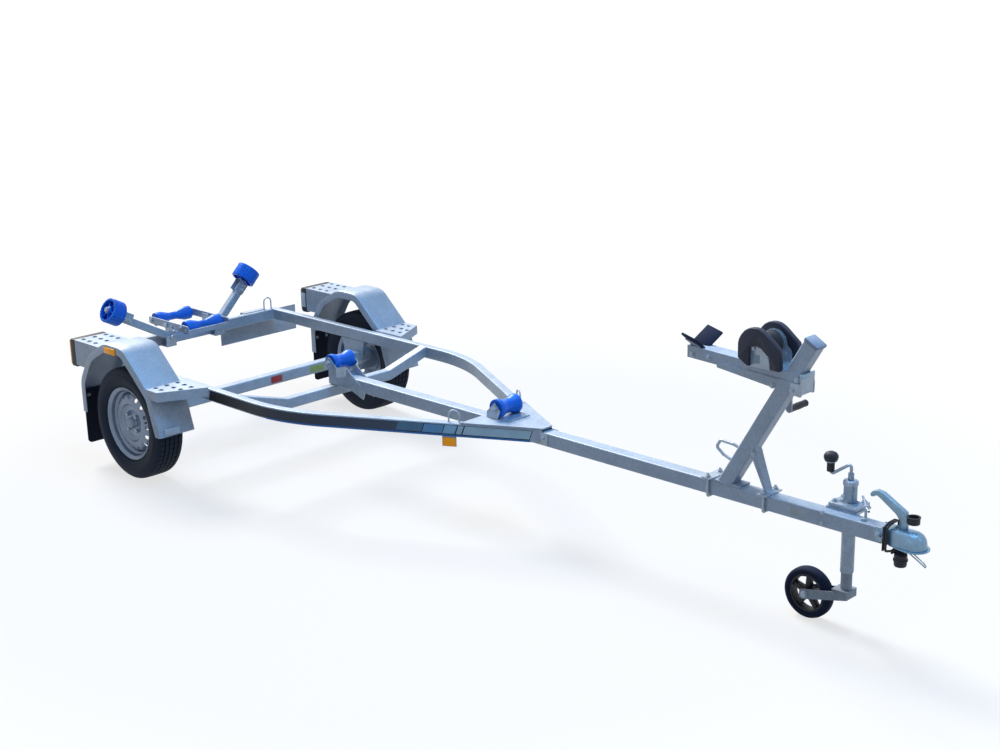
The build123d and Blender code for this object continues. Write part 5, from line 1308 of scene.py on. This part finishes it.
# ---- Rail film ---------------------------------------------------------------------------------
# Printed self-adhesive film on each rail's outer face: a black band that fades to slate as it
# runs ahead, slanted blocks from slate to pale blue near the front, and a blue line below.
RAIL_REAR, RAIL_OUT = -0.427, 0.580
STRAIGHT = 1.166          # from the rail's rear end to its bend
BEND_RADIUS = 0.8
RAIL_HALF = 0.020
FILM_SKIN = 0.0003


def rail_spot(sign, s, height, lift):
    """A point on a rail's outer face, s along its middle line from its rear end."""
    turned_by = min(max((s - STRAIGHT) / BEND_RADIUS, 0), RAIL_SLOPE)
    reach = BEND_RADIUS + RAIL_HALF + lift
    beyond = max(s - STRAIGHT - BEND_RADIUS * RAIL_SLOPE, 0)
    x = RAIL_REAR + min(s, STRAIGHT) + reach * sin(turned_by) + beyond * cos(RAIL_SLOPE)
    y = RAIL_OUT - BEND_RADIUS + reach * cos(turned_by) - beyond * sin(RAIL_SLOPE)
    return station(x, sign * y, height)


def film(name, material, start, end, low, high, slant=0.0, lift=0.0004):
    """A strip of film on both rails between two places along them, its ends slanted."""
    columns = max(2, round((end - start) / 0.03))
    for side, sign in SIDES:
        bpy.ops.mesh.primitive_grid_add(x_subdivisions=columns, y_subdivisions=1)
        strip = bpy.context.object
        strip.name = f"{name}_{side}"
        for index, vertex in enumerate(strip.data.vertices):
            row, column = divmod(index, columns + 1)
            s = start + (end - start) * column / columns + slant * row
            vertex.co = rail_spot(sign, s, low + (high - low) * row, lift)
        skin = strip.modifiers.new("skin", "SOLIDIFY")
        skin.thickness = FILM_SKIN
        bpy.ops.object.modifier_apply(modifier=skin.name)
        finished(strip, material, "chassis", "galvanised")


def printed(name, colour):
    """Satin printed film of one colour."""
    return moulded(name, colour, 0.4, 0.004, 0.03, shine=0.25)


fading = printed("fading_film", (0.05, 0.07, 0.11))
new, link = fading.node_tree.nodes.new, fading.node_tree.links.new
fade_place = new("ShaderNodeTexCoord")
fade_axes = new("ShaderNodeSeparateXYZ")
fade_range = new("ShaderNodeMapRange")
fade_range.inputs["From Min"].default_value = AXLE_X + 0.55
fade_range.inputs["From Max"].default_value = AXLE_X + 1.45
fade_ramp = new("ShaderNodeValToRGB")
fade_ramp.color_ramp.elements[0].color = (0.008, 0.010, 0.014, 1)
fade_ramp.color_ramp.elements[1].color = (0.075, 0.105, 0.16, 1)
link(fade_place.outputs["Object"], fade_axes.inputs[0])
link(fade_axes.outputs["X"], fade_range.inputs["Value"])
link(fade_range.outputs[0], fade_ramp.inputs["Fac"])
fading_shader = fading.node_tree.nodes["Principled BSDF"]
link(fade_ramp.outputs["Color"], fading_shader.inputs["Base Color"])
BAND_LOW, BAND_HIGH = 0.436, 0.482
film("rail_band", fading, 0.845, 1.900, BAND_LOW, BAND_HIGH, slant=0.016)
black_film = printed("black_film", (0.008, 0.010, 0.014))
film("rail_base", black_film, 1.900, 2.503, BAND_LOW, BAND_HIGH, slant=0.016)
for name, colour, start, end in [
    ("slate", (0.13, 0.26, 0.38), 1.903, 2.020), ("steel", (0.20, 0.44, 0.70), 2.024, 2.113),
    ("pale", (0.42, 0.72, 0.95), 2.117, 2.171), ("ice", (0.60, 0.85, 1.0), 2.177, 2.201),
    ("panel", (0.68, 0.86, 1.0), 2.207, 2.502),
]:
    ink = printed(f"{name}_film", colour)
    film(f"{name}_block", ink, start, end, 0.4425, 0.480, slant=0.013, lift=0.0008)
line_blue = printed("line_film", (0.06, 0.26, 0.62))
film("rail_line", line_blue, 1.270, 2.505, 0.4305, 0.4385, lift=0.0008)


# ---- Data labels -------------------------------------------------------------------------------
# Printed vinyl labels, left blank: a red and a lime one on the axle beam's front face, and two
# white ones on the drawbar's right side.
LABEL_SKIN = 0.0004
for name, colour, y, width in [
    ("red", (0.45, 0.02, 0.03), -0.025, 0.070), ("lime", (0.45, 0.55, 0.16), 0.225, 0.095),
]:
    tag = plate(
        f"axle_label_{name}",
        oblong(station(0.1287, y, 0.326), Vector((0, width, 0)), UP * 0.034),
        AHEAD * LABEL_SKIN, 0.0001,
    )
    vinyl = moulded(f"label_{name}", colour, 0.35, 0.004, 0.02)
    finished(tag, vinyl, "chassis", "galvanised")
label_white = moulded("label_white", (0.66, 0.70, 0.70), 0.35, 0.004, 0.02)
for place, ahead in (("rear", 3.245), ("front", 3.281)):
    tag = plate(
        f"drawbar_label_{place}",
        oblong(station(ahead, -0.0302, 0.434), AHEAD * 0.032, UP * 0.032),
        (0, -LABEL_SKIN, 0), 0.0001,
    )
    finished(tag, label_white, "chassis", "galvanised")
